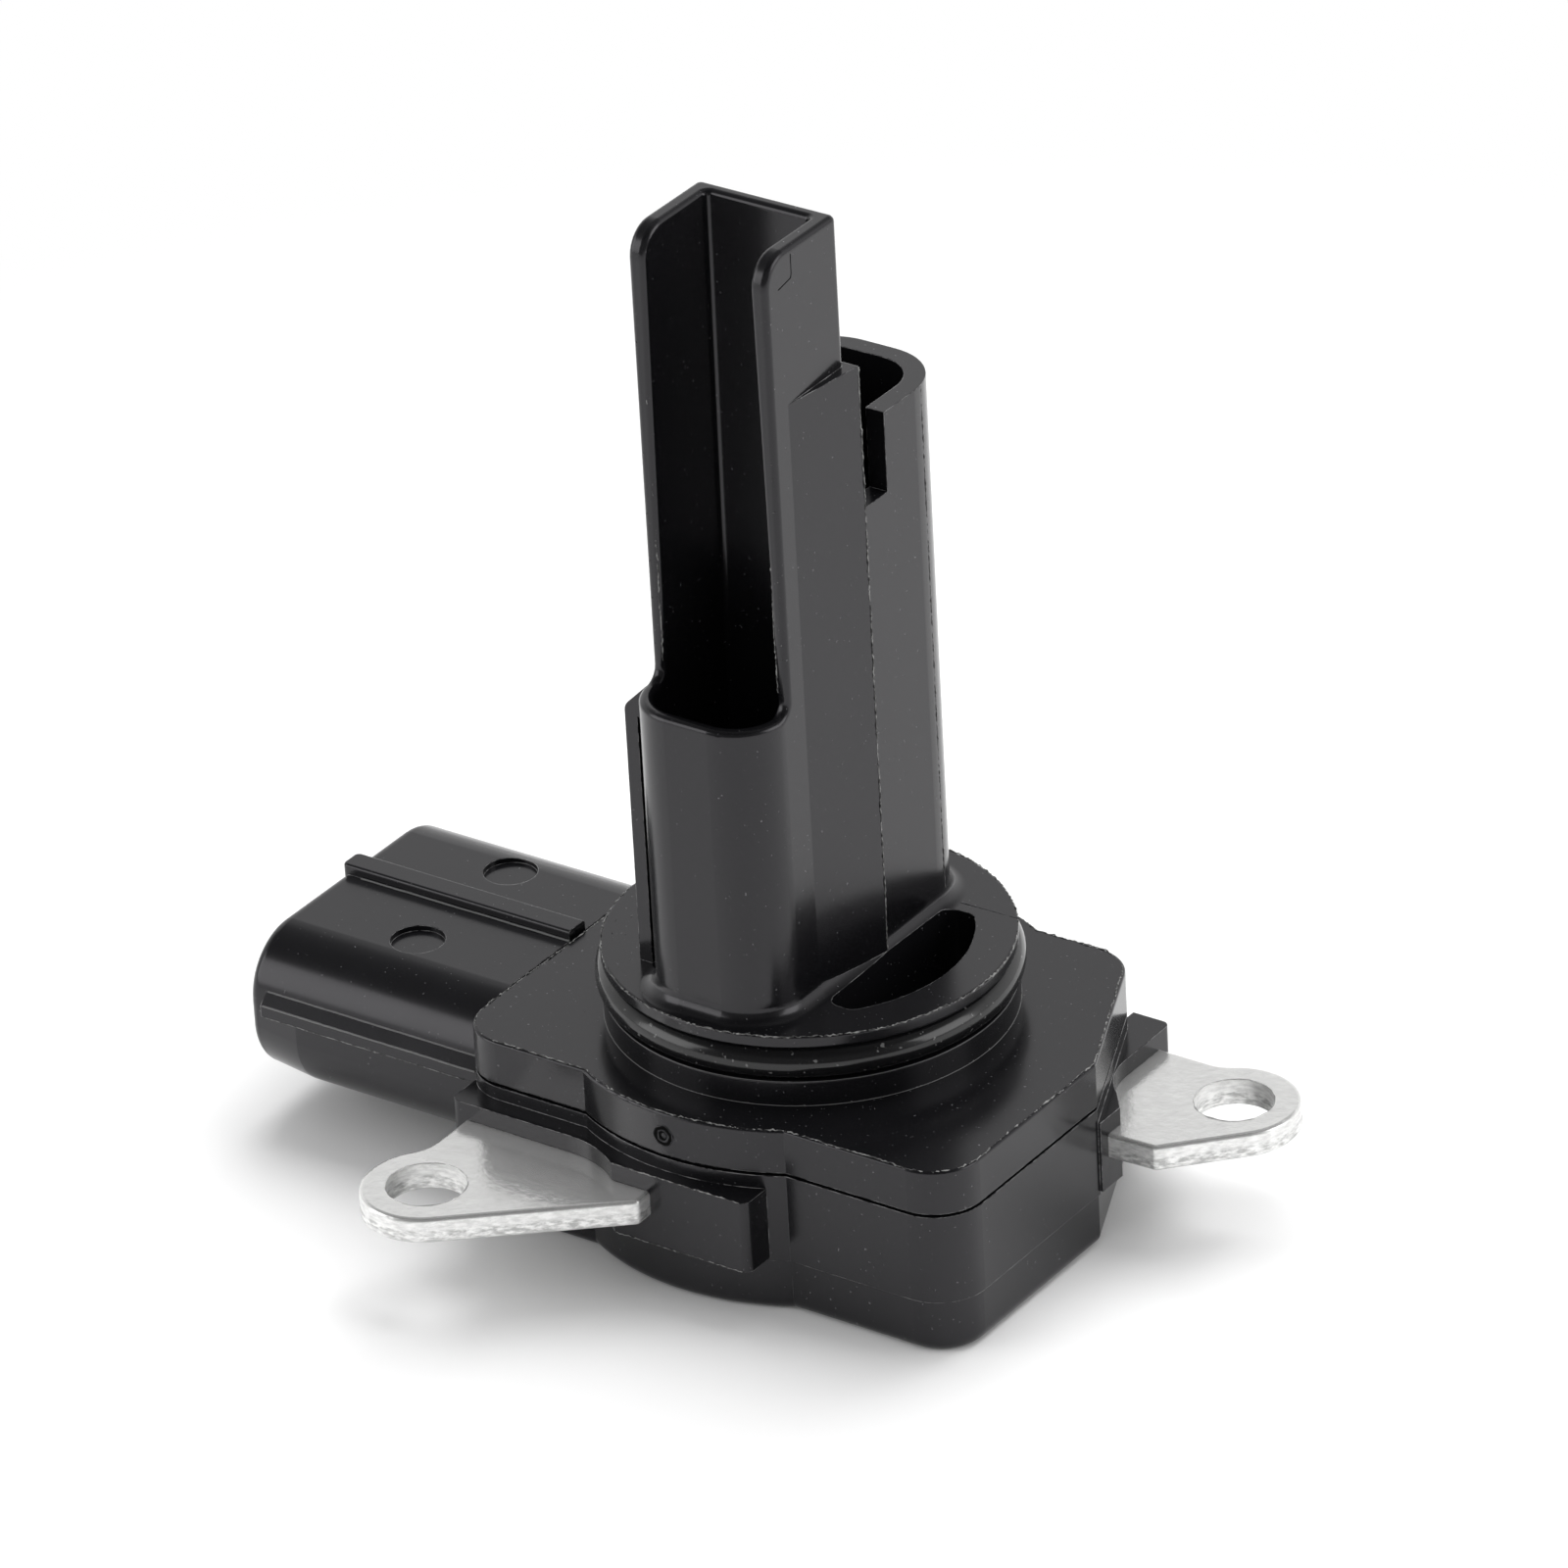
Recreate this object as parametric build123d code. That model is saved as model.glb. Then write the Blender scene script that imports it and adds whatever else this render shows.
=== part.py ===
from build123d import *
import math
import os

# Mass airflow sensor, plug-in type, standing on its case with the probe up.
# Millimetres. Origin on the table under the flange axis, +X away from the
# connector, +Z up along the probe. The upper moulding carries cover, flange
# and probe; the lower moulding carries the circuit case and the connector.

# Heights
CASE_TOP = 10.5
SEAM_GAP = 0.25
COVER_THICK = 3.2
COLLAR_HEIGHT = 1.85
GROOVE_HEIGHT = 2.5
DISC_THICK = 0.9
CUP_HEIGHT = 21.8
TUBE_HEIGHT = 38.8
PAD_HEIGHT = 43.75
PROBE_HEIGHT = 54.6
COVER_BOTTOM = CASE_TOP + SEAM_GAP
COVER_TOP = COVER_BOTTOM + COVER_THICK
GROOVE_BOTTOM = COVER_TOP + COLLAR_HEIGHT
GROOVE_TOP = GROOVE_BOTTOM + GROOVE_HEIGHT
FLANGE_TOP = GROOVE_TOP + DISC_THICK
CUP_TOP = FLANGE_TOP + CUP_HEIGHT
TUBE_TOP = FLANGE_TOP + TUBE_HEIGHT
PAD_TOP = FLANGE_TOP + PAD_HEIGHT
PROBE_TOP = FLANGE_TOP + PROBE_HEIGHT

# Case and cover outline in plan
END_X = 21.2
CONNECTOR_SIDE_X = -18.8
HALF_WIDTH = 15.3
BULGE_R = 17.3
CORNER_R = 3.5
SLANT_START_Y = 2.1
SLANT_TOP_X = 15.4
INNER_CORNER_R = 0.5
PARTING_Z = 3.97
PARTING_INSET = 0.15
CASE_FOOT_R = 0.9
COVER_EDGE_R = 0.2

# Joint between case and cover
RIM_WALL = 1.1
JOINT_WIDTH = 1.5
JOINT_LIP = 0.9
JOINT_DEPTH = 1.8
TONGUE_SIDE_GAP = 0.3
TONGUE_END_GAP = 0.3
SEALANT_BELOW_RIM = 0.1
COVER_RECESS = 1.5

# Flange
FLANGE_R = 14.0
RING_SECTION_R = 1.2
RING_OUTER_R = 14.45
RING_ROOT_GAP = 0.05
DISC_EDGE_R = 0.15
COLLAR_EDGE_R = 0.12

# Probe channel
CHANNEL_HALF = 5.4
CHANNEL_BACK_Y = -0.15
CHANNEL_FRONT_Y = -8.4
CHANNEL_WALL = 0.95
CHANNEL_TOP_WALL = 1.35
CHANNEL_BACK_WALL = 1.1
CHANNEL_CORNER_R = 0.5
CHANNEL_INNER_R = 0.4
CHANNEL_LIP_R = 2.2
WALL_EDGE_R = 0.42
RIM_CORNER_R = 1.0
FOOT_R = 1.05
FOOT_OVERLAP = 0.2
ROOT_TOP = FLANGE_TOP + FOOT_R + FOOT_OVERLAP
NEAR = 0.01

# Cup at the foot of the channel
CUP_FRONT_Y = -12.6
CUP_CORNER_R = 3.7
CUP_WALL = 0.95
CUP_FLOOR_BELOW_FLANGE = 3.2

# Outlet tube behind the channel
TUBE_HALF = 5.8
TUBE_BACK_Y = 11.45
TUBE_CORNER_R = 4.5
TUBE_WALL = 1.45
TUBE_FLOOR_BELOW_FLANGE = 2.2
NOTCH_END_Y = 3.4
NOTCH_DEPTH = 5.8
PORT_WIDTH = 6.4
PORT_HEIGHT = 9.0
PORT_ABOVE_FLANGE = 1.2

# Side pads and the guide fin
PAD_FRONT_Y = -6.6
PAD_BACK_Y = 0.15
PAD_HALF = 6.25
FIN_THICK = 1.0
FIN_SLOT = 1.27
FIN_FRONT_Y = -8.7
FIN_BACK_Y = -0.5
FIN_HEIGHT = 19.33
FIN_SLOT_HEIGHT = 18.7
FIN_TOP_R = 1.0
FIN_CLOSING_WALL = 1.0

# Sink pocket in the flange
POCKET_SIDE_X = 6.3
POCKET_R = 11.1
POCKET_HALF = 7.3
POCKET_CORNER_R = 1.0
POCKET_DEPTH = 5.0

# Ear blocks on the case
BLOCK_BOTTOM = 4.2
BLOCK_TOP = 9.5
FRONT_BLOCK_LEFT_X = -18.2
FRONT_BLOCK_RIGHT_X = 6.85
FRONT_BLOCK_Y = -18.3
FRONT_LEDGE_Y = -16.75
FRONT_LEDGE_END_X = -8.5
FRONT_LEDGE_RUN_X = -4.0
END_BLOCK_BACK_Y = 15.5
END_LEDGE_X = 18.35
END_LEDGE_END_Y = 9.9
END_LEDGE_RUN = (20.2, 6.0)
END_BLOCK_OUT = 0.2
END_BLOCK_OUT_Y = 4.5
BLOCK_ROOT = 1.5
BLOCK_CORNER_R = 0.6

# Mounting plate
PLATE_BOTTOM = 6.3
PLATE_THICK = 1.9
PLATE_TOP = PLATE_BOTTOM + PLATE_THICK
EAR_HOLE_R = 2.75
EAR_TIP_R = 4.5
EAR_EDGE = 0.3
FRONT_EAR_X = -14.4
FRONT_EAR_Y = -24.9
FRONT_EAR_FAR_X = -17.1
FRONT_EAR_BASE = (-0.9, -19.66)
FRONT_EAR_ROOT_X = -1.1
END_EAR_X = 26.3
END_EAR_Y = 10.9
END_EAR_FAR_Y = 14.2
END_EAR_BASE = (25.0, 3.1)
END_EAR_ROOT_Y = 2.7
PLATE_LEFT_X = -12.2
PLATE_RIGHT_X = 18.5
PLATE_BACK_X = 14.5
PLATE_FRONT_Y = -13.5
PLATE_STEP_Y = -12.5
EAR_WAIST_R = 3.0
EAR_BASE_R = 0.45

# Connector
CONNECTOR_END_X = -38.1
CONNECTOR_Y = -1.4
CONNECTOR_HALF = 11.4
CONNECTOR_BOTTOM = 3.0
CONNECTOR_TOP = 13.8
CONNECTOR_CORNER_R = 4.5
CONNECTOR_EDGE_R = 0.8
CONNECTOR_COVER_GAP = 0.15
SHROUD_WALL = 1.6
SOCKET_DEPTH = 15.0
RIDGE_FRONT_Y = -1.5
RIDGE_BACK_Y = 0.35
RIDGE_HEIGHT = 0.75
RIDGE_END_R = 0.45
RIDGE_TOP_R = 0.2
SHOULDER_OUT = 0.6
SHOULDER_TOP = 9.7
SHOULDER_FLASH_Z = 8.85
SHOULDER_SETBACK = 1.5
LOWER_RUN = 3.6
MARK_R = 1.9
MARK_DEPTH = 0.4
MARK_X = -28.1
MARK_CENTRE_Y = -1.0
MARK_OFFSET_Y = 5.4

# Terminals
PIN_COUNT = 5
PIN_PITCH = 3.6
PIN_WIDTH = 1.5
PIN_THICK = 0.64
PIN_REACH = 8.2
PIN_TIP_TAPER = 0.2
PAD_DROP = 0.6
PAD_LENGTH = 2.4
WIRE_R = 0.15
WIRE_RISE = 0.8
WIRE_LAND = 0.8
WIRE_BEND_R = 0.4

# Circuit
GLUE_THICK = 0.15
BOARD_THICK = 0.64
BOARD_LEFT_X = -11.6
BOARD_RIGHT_X = 13.0
BOARD_HALF = 11.0
CHIP_SIZE = 6.0
CHIP_THICK = 1.2
CHIP_X = 7.5
CHIP_Y = -4.5
DRIVER_LENGTH = 4.4
DRIVER_WIDTH = 3.2
DRIVER_X = 7.8
DRIVER_Y = 5.0
CAPACITOR_LENGTH = 2.0
CAPACITOR_WIDTH = 1.25
CAPACITOR_THICK = 0.95
CAPACITOR_X = -7.4
CAPACITOR_ROWS = (-7.5, -4.3, 4.3, 7.5)
RESISTOR_LENGTH = 1.6
RESISTOR_WIDTH = 0.8
RESISTOR_THICK = 0.45
RESISTOR_X = 2.6
RESISTOR_ROWS = (-9.6, -1.0, 1.0, 8.6)

# Sensing elements and the pins that carry them
SENSE_PIN_R = 0.4
SENSE_HALF = 1.7
HEATER_Y = -4.6
HEATER_RISE = 14.5
COLD_Y = -8.4
COLD_RISE = 11.0
THERMISTOR_HALF = 1.3
THERMISTOR_Y = 5.4
THERMISTOR_RISE = 12.0
ELEMENT_R = 0.55
ELEMENT_LENGTH = 1.9
LEAD_R = 0.1
LEAD_GAP = 0.02
BEAD_R = 0.9


def vertex_at(sketch, x, y):
    """The corner of a sketch that lies nearest a point."""
    return sketch.vertices().sort_by_distance(Vector(x, y, 0))[0]


def polygon(*corners):
    """A flat plan through corners that run counter-clockwise."""
    return make_face(Polyline(*corners, close=True))


def prism(sketch, low, high):
    """A plan sketch raised from one height to another."""
    return Pos(0, 0, low) * extrude(sketch, amount=high - low)


def box_between(low, high):
    """A block between two opposite corners."""
    size = [b - a for a, b in zip(low, high)]
    middle = [(a + b) / 2 for a, b in zip(low, high)]
    return Pos(*middle) * Box(*size)


# Plan outline shared by case, cover, joint and circuit space

def body_outline(inset=0.0):
    """Rounded case outline with the round bulge about the flange, set in by a wall."""
    left = CONNECTOR_SIDE_X + inset
    right = END_X - inset
    half = HALF_WIDTH - inset
    run = END_X - SLANT_TOP_X
    rise = HALF_WIDTH - SLANT_START_Y
    slope = math.hypot(run, rise)
    slant_start = (right, SLANT_START_Y - inset * (slope - rise) / run)
    slant_corner = (SLANT_TOP_X - inset * (slope - run) / rise, half)
    block = polygon((left, -half), (right, -half), slant_start, slant_corner, (left, half))
    for x, y in ((left, -half), (right, -half), (left, half), slant_corner):
        block = fillet(vertex_at(block, x, y), max(CORNER_R - inset, INNER_CORNER_R))
    return block + Circle(BULGE_R - inset)


# Upper moulding: cover, flange and probe

def cover_plate():
    """The flat cover with its tongue and the space above the circuit."""
    plate = prism(body_outline(), COVER_BOTTOM, COVER_TOP)
    plate = fillet(plate.faces().sort_by(Axis.Z)[-1].edges(), COVER_EDGE_R)
    joint_inset = RIM_WALL + JOINT_WIDTH
    tongue_plan = body_outline(RIM_WALL + TONGUE_SIDE_GAP) - body_outline(joint_inset - TONGUE_SIDE_GAP)
    tongue_bottom = CASE_TOP - JOINT_DEPTH + TONGUE_END_GAP
    tongue = prism(tongue_plan, tongue_bottom, COVER_BOTTOM)
    recess = prism(body_outline(joint_inset + JOINT_LIP), COVER_BOTTOM, COVER_BOTTOM + COVER_RECESS)
    return plate - recess + tongue


def root_plan():
    """Plan of the probe where it grows out of the flange, without its pads."""
    plan = polygon(
        (-CHANNEL_HALF, CUP_FRONT_Y),
        (CHANNEL_HALF, CUP_FRONT_Y),
        (CHANNEL_HALF, PAD_FRONT_Y),
        (TUBE_HALF, PAD_BACK_Y),
        (TUBE_HALF, TUBE_BACK_Y),
        (-TUBE_HALF, TUBE_BACK_Y),
        (-TUBE_HALF, PAD_BACK_Y),
        (-CHANNEL_HALF, PAD_FRONT_Y),
    )
    plan = fillet(plan.vertices().group_by(Axis.Y)[0], CUP_CORNER_R)
    return fillet(plan.vertices().group_by(Axis.Y)[-1], TUBE_CORNER_R)


def standing_disc(radius, low, high):
    """A round disc about the flange axis between two heights."""
    return Pos(0, 0, (low + high) / 2) * Cylinder(radius, high - low)


def flange():
    """Collar, ring groove and end disc about the flange axis."""
    root_r = RING_OUTER_R - 2 * RING_SECTION_R - RING_ROOT_GAP
    collar = standing_disc(FLANGE_R, COVER_TOP - COVER_EDGE_R, GROOVE_BOTTOM)
    collar = fillet(collar.edges().group_by(Axis.Z)[-1], COLLAR_EDGE_R)
    neck = standing_disc(root_r, COVER_TOP, FLANGE_TOP)
    disc = standing_disc(FLANGE_R, GROOVE_TOP, FLANGE_TOP)
    disc = fillet(disc.edges().filter_by(GeomType.CIRCLE), DISC_EDGE_R)
    disc += prism(root_plan(), FLANGE_TOP - FOOT_OVERLAP, ROOT_TOP)
    level = disc.edges().filter_by_position(Axis.Z, FLANGE_TOP - NEAR, FLANGE_TOP + NEAR)
    disc = fillet(level.filter_by(lambda edge: edge.length < 2 * FLANGE_R), FOOT_R)
    return collar + neck + disc


def channel_plan(z):
    """Outside of the channel at a height."""
    depth = CHANNEL_BACK_Y - CHANNEL_FRONT_Y
    plan = Pos(0, CHANNEL_BACK_Y - depth / 2) * Rectangle(2 * CHANNEL_HALF, depth)
    plan = fillet(plan.vertices().group_by(Axis.Y)[-1], CHANNEL_CORNER_R)
    return Pos(0, 0, z) * plan


def channel_hollow_plan(z, wall):
    """Inside of the channel at a height, carried on past the open front."""
    back = CHANNEL_BACK_Y - CHANNEL_BACK_WALL
    depth = back - CHANNEL_FRONT_Y + CHANNEL_CORNER_R / 2
    plan = Pos(0, back - depth / 2) * Rectangle(2 * (CHANNEL_HALF - wall), depth)
    plan = fillet(plan.vertices().group_by(Axis.Y)[-1], CHANNEL_INNER_R)
    return Pos(0, 0, z) * plan


def cup_plan(inset=0.0):
    """Plan of the cup, set in by its wall."""
    front = CUP_FRONT_Y + inset
    back = CHANNEL_FRONT_Y + CUP_CORNER_R
    plan = Pos(0, (front + back) / 2) * Rectangle(2 * (CHANNEL_HALF - inset), back - front)
    return fillet(plan.vertices().group_by(Axis.Y)[0], CUP_CORNER_R - inset)


def channel_hollow():
    """The space inside the channel above the flange, narrower towards the top."""
    draft_start = CUP_TOP + RIM_CORNER_R
    straight = prism(channel_hollow_plan(0, CHANNEL_WALL), FLANGE_TOP, draft_start)
    drafted = loft([
        channel_hollow_plan(draft_start, CHANNEL_WALL),
        channel_hollow_plan(PROBE_TOP, CHANNEL_TOP_WALL),
    ])
    return straight + drafted


def rim_corner():
    """The rounded inner corner between the channel's front edges and the cup's rim."""
    strip = Pos(0, CHANNEL_FRONT_Y) * Rectangle(2 * CHANNEL_HALF, 2 * RIM_CORNER_R)
    web = prism(cup_plan() & strip, CUP_TOP - FOOT_OVERLAP, CUP_TOP + RIM_CORNER_R)
    round_cut = Pos(0, CHANNEL_FRONT_Y - RIM_CORNER_R, CUP_TOP + RIM_CORNER_R) * Rot(0, 90, 0)
    return web - round_cut * Cylinder(RIM_CORNER_R, 4 * CHANNEL_HALF)


def probe_wall():
    """The tall U-shaped channel and the cup at its foot, one wall with a rounded rim."""
    body = prism(channel_plan(0), ROOT_TOP, PROBE_TOP)
    front_edges = body.edges().filter_by(Axis.X).group_by(Axis.Z)[-1]
    body = fillet(front_edges.sort_by(Axis.Y)[0], CHANNEL_LIP_R)
    body += prism(cup_plan(), ROOT_TOP, CUP_TOP)
    body += rim_corner()
    body -= channel_hollow()
    body -= prism(cup_plan(CUP_WALL), FLANGE_TOP, CUP_TOP + RIM_CORNER_R)
    tops = body.faces().filter_by(Axis.Z).group_by(Axis.Z)[1:]
    fronts = body.faces().filter_by(Axis.Y).filter_by_position(
        Axis.Y, CHANNEL_FRONT_Y - RIM_CORNER_R, CHANNEL_FRONT_Y + RIM_CORNER_R)
    rim = ShapeList()
    for face in [*tops[0], *tops[1], *fronts]:
        rim += [edge for edge in face.edges() if edge.length > 2 * CHANNEL_WALL]
    return fillet(rim, WALL_EDGE_R)


def well():
    """The space inside channel and cup, down to the floor below the flange."""
    plan = channel_hollow_plan(0, CHANNEL_WALL) + cup_plan(CUP_WALL)
    return prism(plan, FLANGE_TOP - CUP_FLOOR_BELOW_FLANGE, CUP_TOP)


def tube_plan(inset=0.0):
    """Plan of the outlet tube, set in by its wall."""
    half = TUBE_HALF - inset
    back = TUBE_BACK_Y - inset
    front = CHANNEL_BACK_Y - (0 if inset else CHANNEL_BACK_WALL / 2)
    plan = Pos(0, (front + back) / 2) * Rectangle(2 * half, back - front)
    return fillet(plan.vertices().group_by(Axis.Y)[-1], TUBE_CORNER_R - inset)


def tube():
    """The outlet tube behind the channel, notched beside the pad."""
    body = prism(tube_plan(), ROOT_TOP, TUBE_TOP)
    notch = box_between(
        (TUBE_HALF - 2 * TUBE_WALL, PAD_BACK_Y, TUBE_TOP - NOTCH_DEPTH),
        (TUBE_HALF + TUBE_WALL, NOTCH_END_Y, TUBE_TOP + TUBE_WALL),
    )
    return body - notch


def tube_well():
    """The space inside the outlet tube."""
    return prism(tube_plan(TUBE_WALL), FLANGE_TOP - TUBE_FLOOR_BELOW_FLANGE, TUBE_TOP + TUBE_WALL)


def side_pad():
    """The wedge that thickens the channel's side towards its back."""
    root_x = CHANNEL_HALF - CHANNEL_WALL / 2
    plan = polygon(
        (root_x, PAD_FRONT_Y),
        (CHANNEL_HALF, PAD_FRONT_Y),
        (PAD_HALF, PAD_BACK_Y),
        (root_x, PAD_BACK_Y),
    )
    return prism(plan, FLANGE_TOP, PAD_TOP)


def fin():
    """The guide fin beside the cup, sloped into the channel wall above."""
    wall_x = -CHANNEL_HALF
    inner_x = wall_x - FIN_SLOT
    outer_x = inner_x - FIN_THICK
    root_x = wall_x + CHANNEL_WALL / 2
    fin_top = FLANGE_TOP + FIN_HEIGHT
    slot_top = FLANGE_TOP + FIN_SLOT_HEIGHT
    slope_top = fin_top + wall_x - outer_x
    outline = polygon(
        (outer_x, FLANGE_TOP),
        (root_x, FLANGE_TOP),
        (root_x, slope_top),
        (wall_x, slope_top),
        (outer_x, fin_top),
    )
    outline = fillet(vertex_at(outline, outer_x, fin_top), FIN_TOP_R)
    body = Pos(0, FIN_BACK_Y, 0) * extrude(Plane.XZ * outline, amount=FIN_BACK_Y - FIN_FRONT_Y)
    slot = box_between(
        (inner_x, FIN_FRONT_Y - FIN_THICK, FLANGE_TOP - FIN_THICK),
        (root_x + CHANNEL_WALL, FIN_BACK_Y - FIN_CLOSING_WALL, slot_top),
    )
    return body - slot


def pocket():
    """The D-shaped sink beside the probe."""
    span = POCKET_R - POCKET_SIDE_X
    window = Pos(POCKET_SIDE_X + span / 2, 0) * Rectangle(span, 2 * POCKET_HALF)
    plan = Circle(POCKET_R) & window
    plan = fillet(plan.vertices(), POCKET_CORNER_R)
    return prism(plan, FLANGE_TOP - POCKET_DEPTH, FLANGE_TOP + FOOT_R)


def port():
    """The way through the back wall from the cup to the outlet tube."""
    low = FLANGE_TOP + PORT_ABOVE_FLANGE
    return box_between(
        (-PORT_WIDTH / 2, CHANNEL_BACK_Y - 2 * CHANNEL_BACK_WALL, low),
        (PORT_WIDTH / 2, CHANNEL_BACK_Y + CHANNEL_BACK_WALL, low + PORT_HEIGHT),
    )


def probe_housing(pins):
    """The whole upper moulding, with its pins moulded in."""
    right_pad = side_pad()
    probe = probe_wall() + tube() + right_pad + mirror(right_pad, Plane.YZ) + fin()
    body = cover_plate() + flange() + probe
    body -= well()
    body -= tube_well()
    body -= port()
    body -= pocket()
    for pin in pins:
        body -= pin
    return body


# Lower moulding: circuit case, ear blocks and connector

def rounded_block(plan, *corners):
    """An ear block with the upright edges at some corners rounded."""
    block = prism(plan, BLOCK_BOTTOM, BLOCK_TOP)
    for x, y in corners:
        upright = block.edges().filter_by(Axis.Z).sort_by_distance(Vector(x, y, BLOCK_BOTTOM))[0]
        block = fillet(upright, BLOCK_CORNER_R)
    return block


def front_block():
    """The block that grips the front ear, cut back beside the bolt."""
    start = (FRONT_LEDGE_END_X, FRONT_LEDGE_Y)
    run = (FRONT_LEDGE_RUN_X, FRONT_BLOCK_Y)
    root_y = -HALF_WIDTH + BLOCK_ROOT
    left_corner = (FRONT_BLOCK_LEFT_X, FRONT_LEDGE_Y)
    right_corner = (FRONT_BLOCK_RIGHT_X, FRONT_BLOCK_Y)
    plan = make_face([
        Polyline((FRONT_BLOCK_LEFT_X, root_y), left_corner, start),
        TangentArc(start, run, tangent=(1, 0)),
        Polyline(run, right_corner, (FRONT_BLOCK_RIGHT_X, root_y), (FRONT_BLOCK_LEFT_X, root_y)),
    ])
    return rounded_block(plan, left_corner, right_corner)


def end_block():
    """The block that grips the end ear, cut back beside the bolt."""
    start = (END_LEDGE_X, END_LEDGE_END_Y)
    out_x = END_X + END_BLOCK_OUT
    root_x = END_LEDGE_X - 2 * BLOCK_ROOT
    back_corner = (END_LEDGE_X, END_BLOCK_BACK_Y)
    plan = make_face([
        Polyline(start, back_corner, (root_x, END_BLOCK_BACK_Y), (root_x, SLANT_START_Y),
                 (out_x, SLANT_START_Y), (out_x, END_BLOCK_OUT_Y), END_LEDGE_RUN),
        TangentArc(start, END_LEDGE_RUN, tangent=(0, -1)),
    ])
    return rounded_block(plan, back_corner)


def connector_plan(inset=0.0):
    """Rounded section of the connector, seen along X, on the plane through the origin."""
    height = CONNECTOR_TOP - CONNECTOR_BOTTOM - 2 * inset
    width = 2 * (CONNECTOR_HALF - inset)
    section = RectangleRounded(width, height, CONNECTOR_CORNER_R - inset)
    return Plane.YZ * Pos(CONNECTOR_Y, (CONNECTOR_TOP + CONNECTOR_BOTTOM) / 2) * section


def along_x(section, start, end):
    """A YZ section carried along X between two places."""
    return Pos(start, 0, 0) * extrude(section, amount=end - start)


def lower_plan(out):
    """Connector section below the flash line, stepped out on both sides."""
    height = CONNECTOR_TOP - CONNECTOR_BOTTOM
    middle = (CONNECTOR_TOP + CONNECTOR_BOTTOM) / 2
    section = RectangleRounded(2 * (CONNECTOR_HALF + out), height, CONNECTOR_CORNER_R)
    section = Pos(CONNECTOR_Y, middle) * section
    below = Pos(CONNECTOR_Y, SHOULDER_FLASH_Z - height) * Rectangle(4 * CONNECTOR_HALF, 2 * height)
    return Plane.YZ * (section & below)


def shoulders():
    """The sloped shoulder along each side and the wider lower half of the connector."""
    start = CONNECTOR_END_X + CONNECTOR_EDGE_R
    run_end = start + LOWER_RUN
    back = CONNECTOR_SIDE_X + RIM_WALL
    lower = loft([Pos(start, 0, 0) * lower_plan(0), Pos(run_end, 0, 0) * lower_plan(SHOULDER_OUT)])
    lower += along_x(lower_plan(SHOULDER_OUT), run_end, back)
    half = CONNECTOR_HALF + SHOULDER_OUT
    slope = CONNECTOR_CORNER_R / 2
    wedge = make_face(Polyline(
        (-half, SHOULDER_FLASH_Z),
        (half, SHOULDER_FLASH_Z),
        (half, SHOULDER_TOP),
        (half - slope, SHOULDER_TOP + slope),
        (slope - half, SHOULDER_TOP + slope),
        (-half, SHOULDER_TOP),
        close=True,
    ))
    band = along_x(Plane.YZ * Pos(CONNECTOR_Y, 0) * wedge, CONNECTOR_END_X + SHOULDER_SETBACK, back)
    keep = box_between(
        (CONNECTOR_END_X, CONNECTOR_Y - half, CONNECTOR_BOTTOM),
        (back, CONNECTOR_Y + half, CASE_TOP),
    )
    return lower + (band & keep)


def connector():
    """The connector shroud with its ridge, shoulders and round marks."""
    back = CONNECTOR_SIDE_X - CONNECTOR_COVER_GAP
    body = along_x(connector_plan(), CONNECTOR_END_X, back)
    body = fillet(body.faces().sort_by(Axis.X)[0].edges(), CONNECTOR_EDGE_R)
    ridge = box_between(
        (CONNECTOR_END_X, RIDGE_FRONT_Y, CONNECTOR_TOP - SHROUD_WALL / 2),
        (back, RIDGE_BACK_Y, CONNECTOR_TOP + RIDGE_HEIGHT),
    )
    ridge = fillet(ridge.edges().filter_by(Axis.Z).group_by(Axis.X)[0], RIDGE_END_R)
    ridge_top = ridge.faces().sort_by(Axis.Z)[-1].edges().filter_by(Axis.X)
    ridge = fillet(ridge_top, RIDGE_TOP_R)
    body = body + ridge + shoulders()
    for side in (-1, 1):
        centre_y = MARK_CENTRE_Y + side * MARK_OFFSET_Y
        body -= Pos(MARK_X, centre_y, CONNECTOR_TOP) * Cylinder(MARK_R, 2 * MARK_DEPTH)
    socket = along_x(connector_plan(SHROUD_WALL), CONNECTOR_END_X, CONNECTOR_END_X + SOCKET_DEPTH)
    return body - socket


def case_shell():
    """The circuit case up to the seam, with the sealant groove in its rim."""
    foot_part = prism(body_outline(PARTING_INSET), 0, PARTING_Z)
    foot_part = fillet(foot_part.faces().sort_by(Axis.Z)[0].edges(), CASE_FOOT_R)
    body = foot_part + prism(body_outline(), PARTING_Z, CASE_TOP)
    neck = along_x(connector_plan(), CONNECTOR_SIDE_X - RIM_WALL, CONNECTOR_SIDE_X + RIM_WALL)
    below_seam = prism(Rectangle(4 * END_X, 4 * END_X), 0, CASE_TOP)
    body += neck & below_seam
    return body + front_block() + end_block()


def joint_groove():
    """The sealant groove round the case rim."""
    plan = body_outline(RIM_WALL) - body_outline(RIM_WALL + JOINT_WIDTH)
    return prism(plan, CASE_TOP - JOINT_DEPTH, CASE_TOP)


def circuit_space():
    """The space for the circuit, lower beside the terminals than on the plate."""
    plan = body_outline(RIM_WALL + JOINT_WIDTH + JOINT_LIP)
    beside = Pos(PLATE_LEFT_X - END_X, 0) * Rectangle(2 * END_X, 4 * END_X)
    return prism(plan, PLATE_TOP, CASE_TOP) + prism(plan & beside, PLATE_TOP - PAD_DROP, PLATE_TOP)


def circuit_case(inserts):
    """The whole lower moulding, with plate and terminals moulded in."""
    body = case_shell() + connector()
    body -= joint_groove()
    body -= circuit_space()
    for insert in inserts:
        body -= insert
    return body


# Metal and rubber

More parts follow.
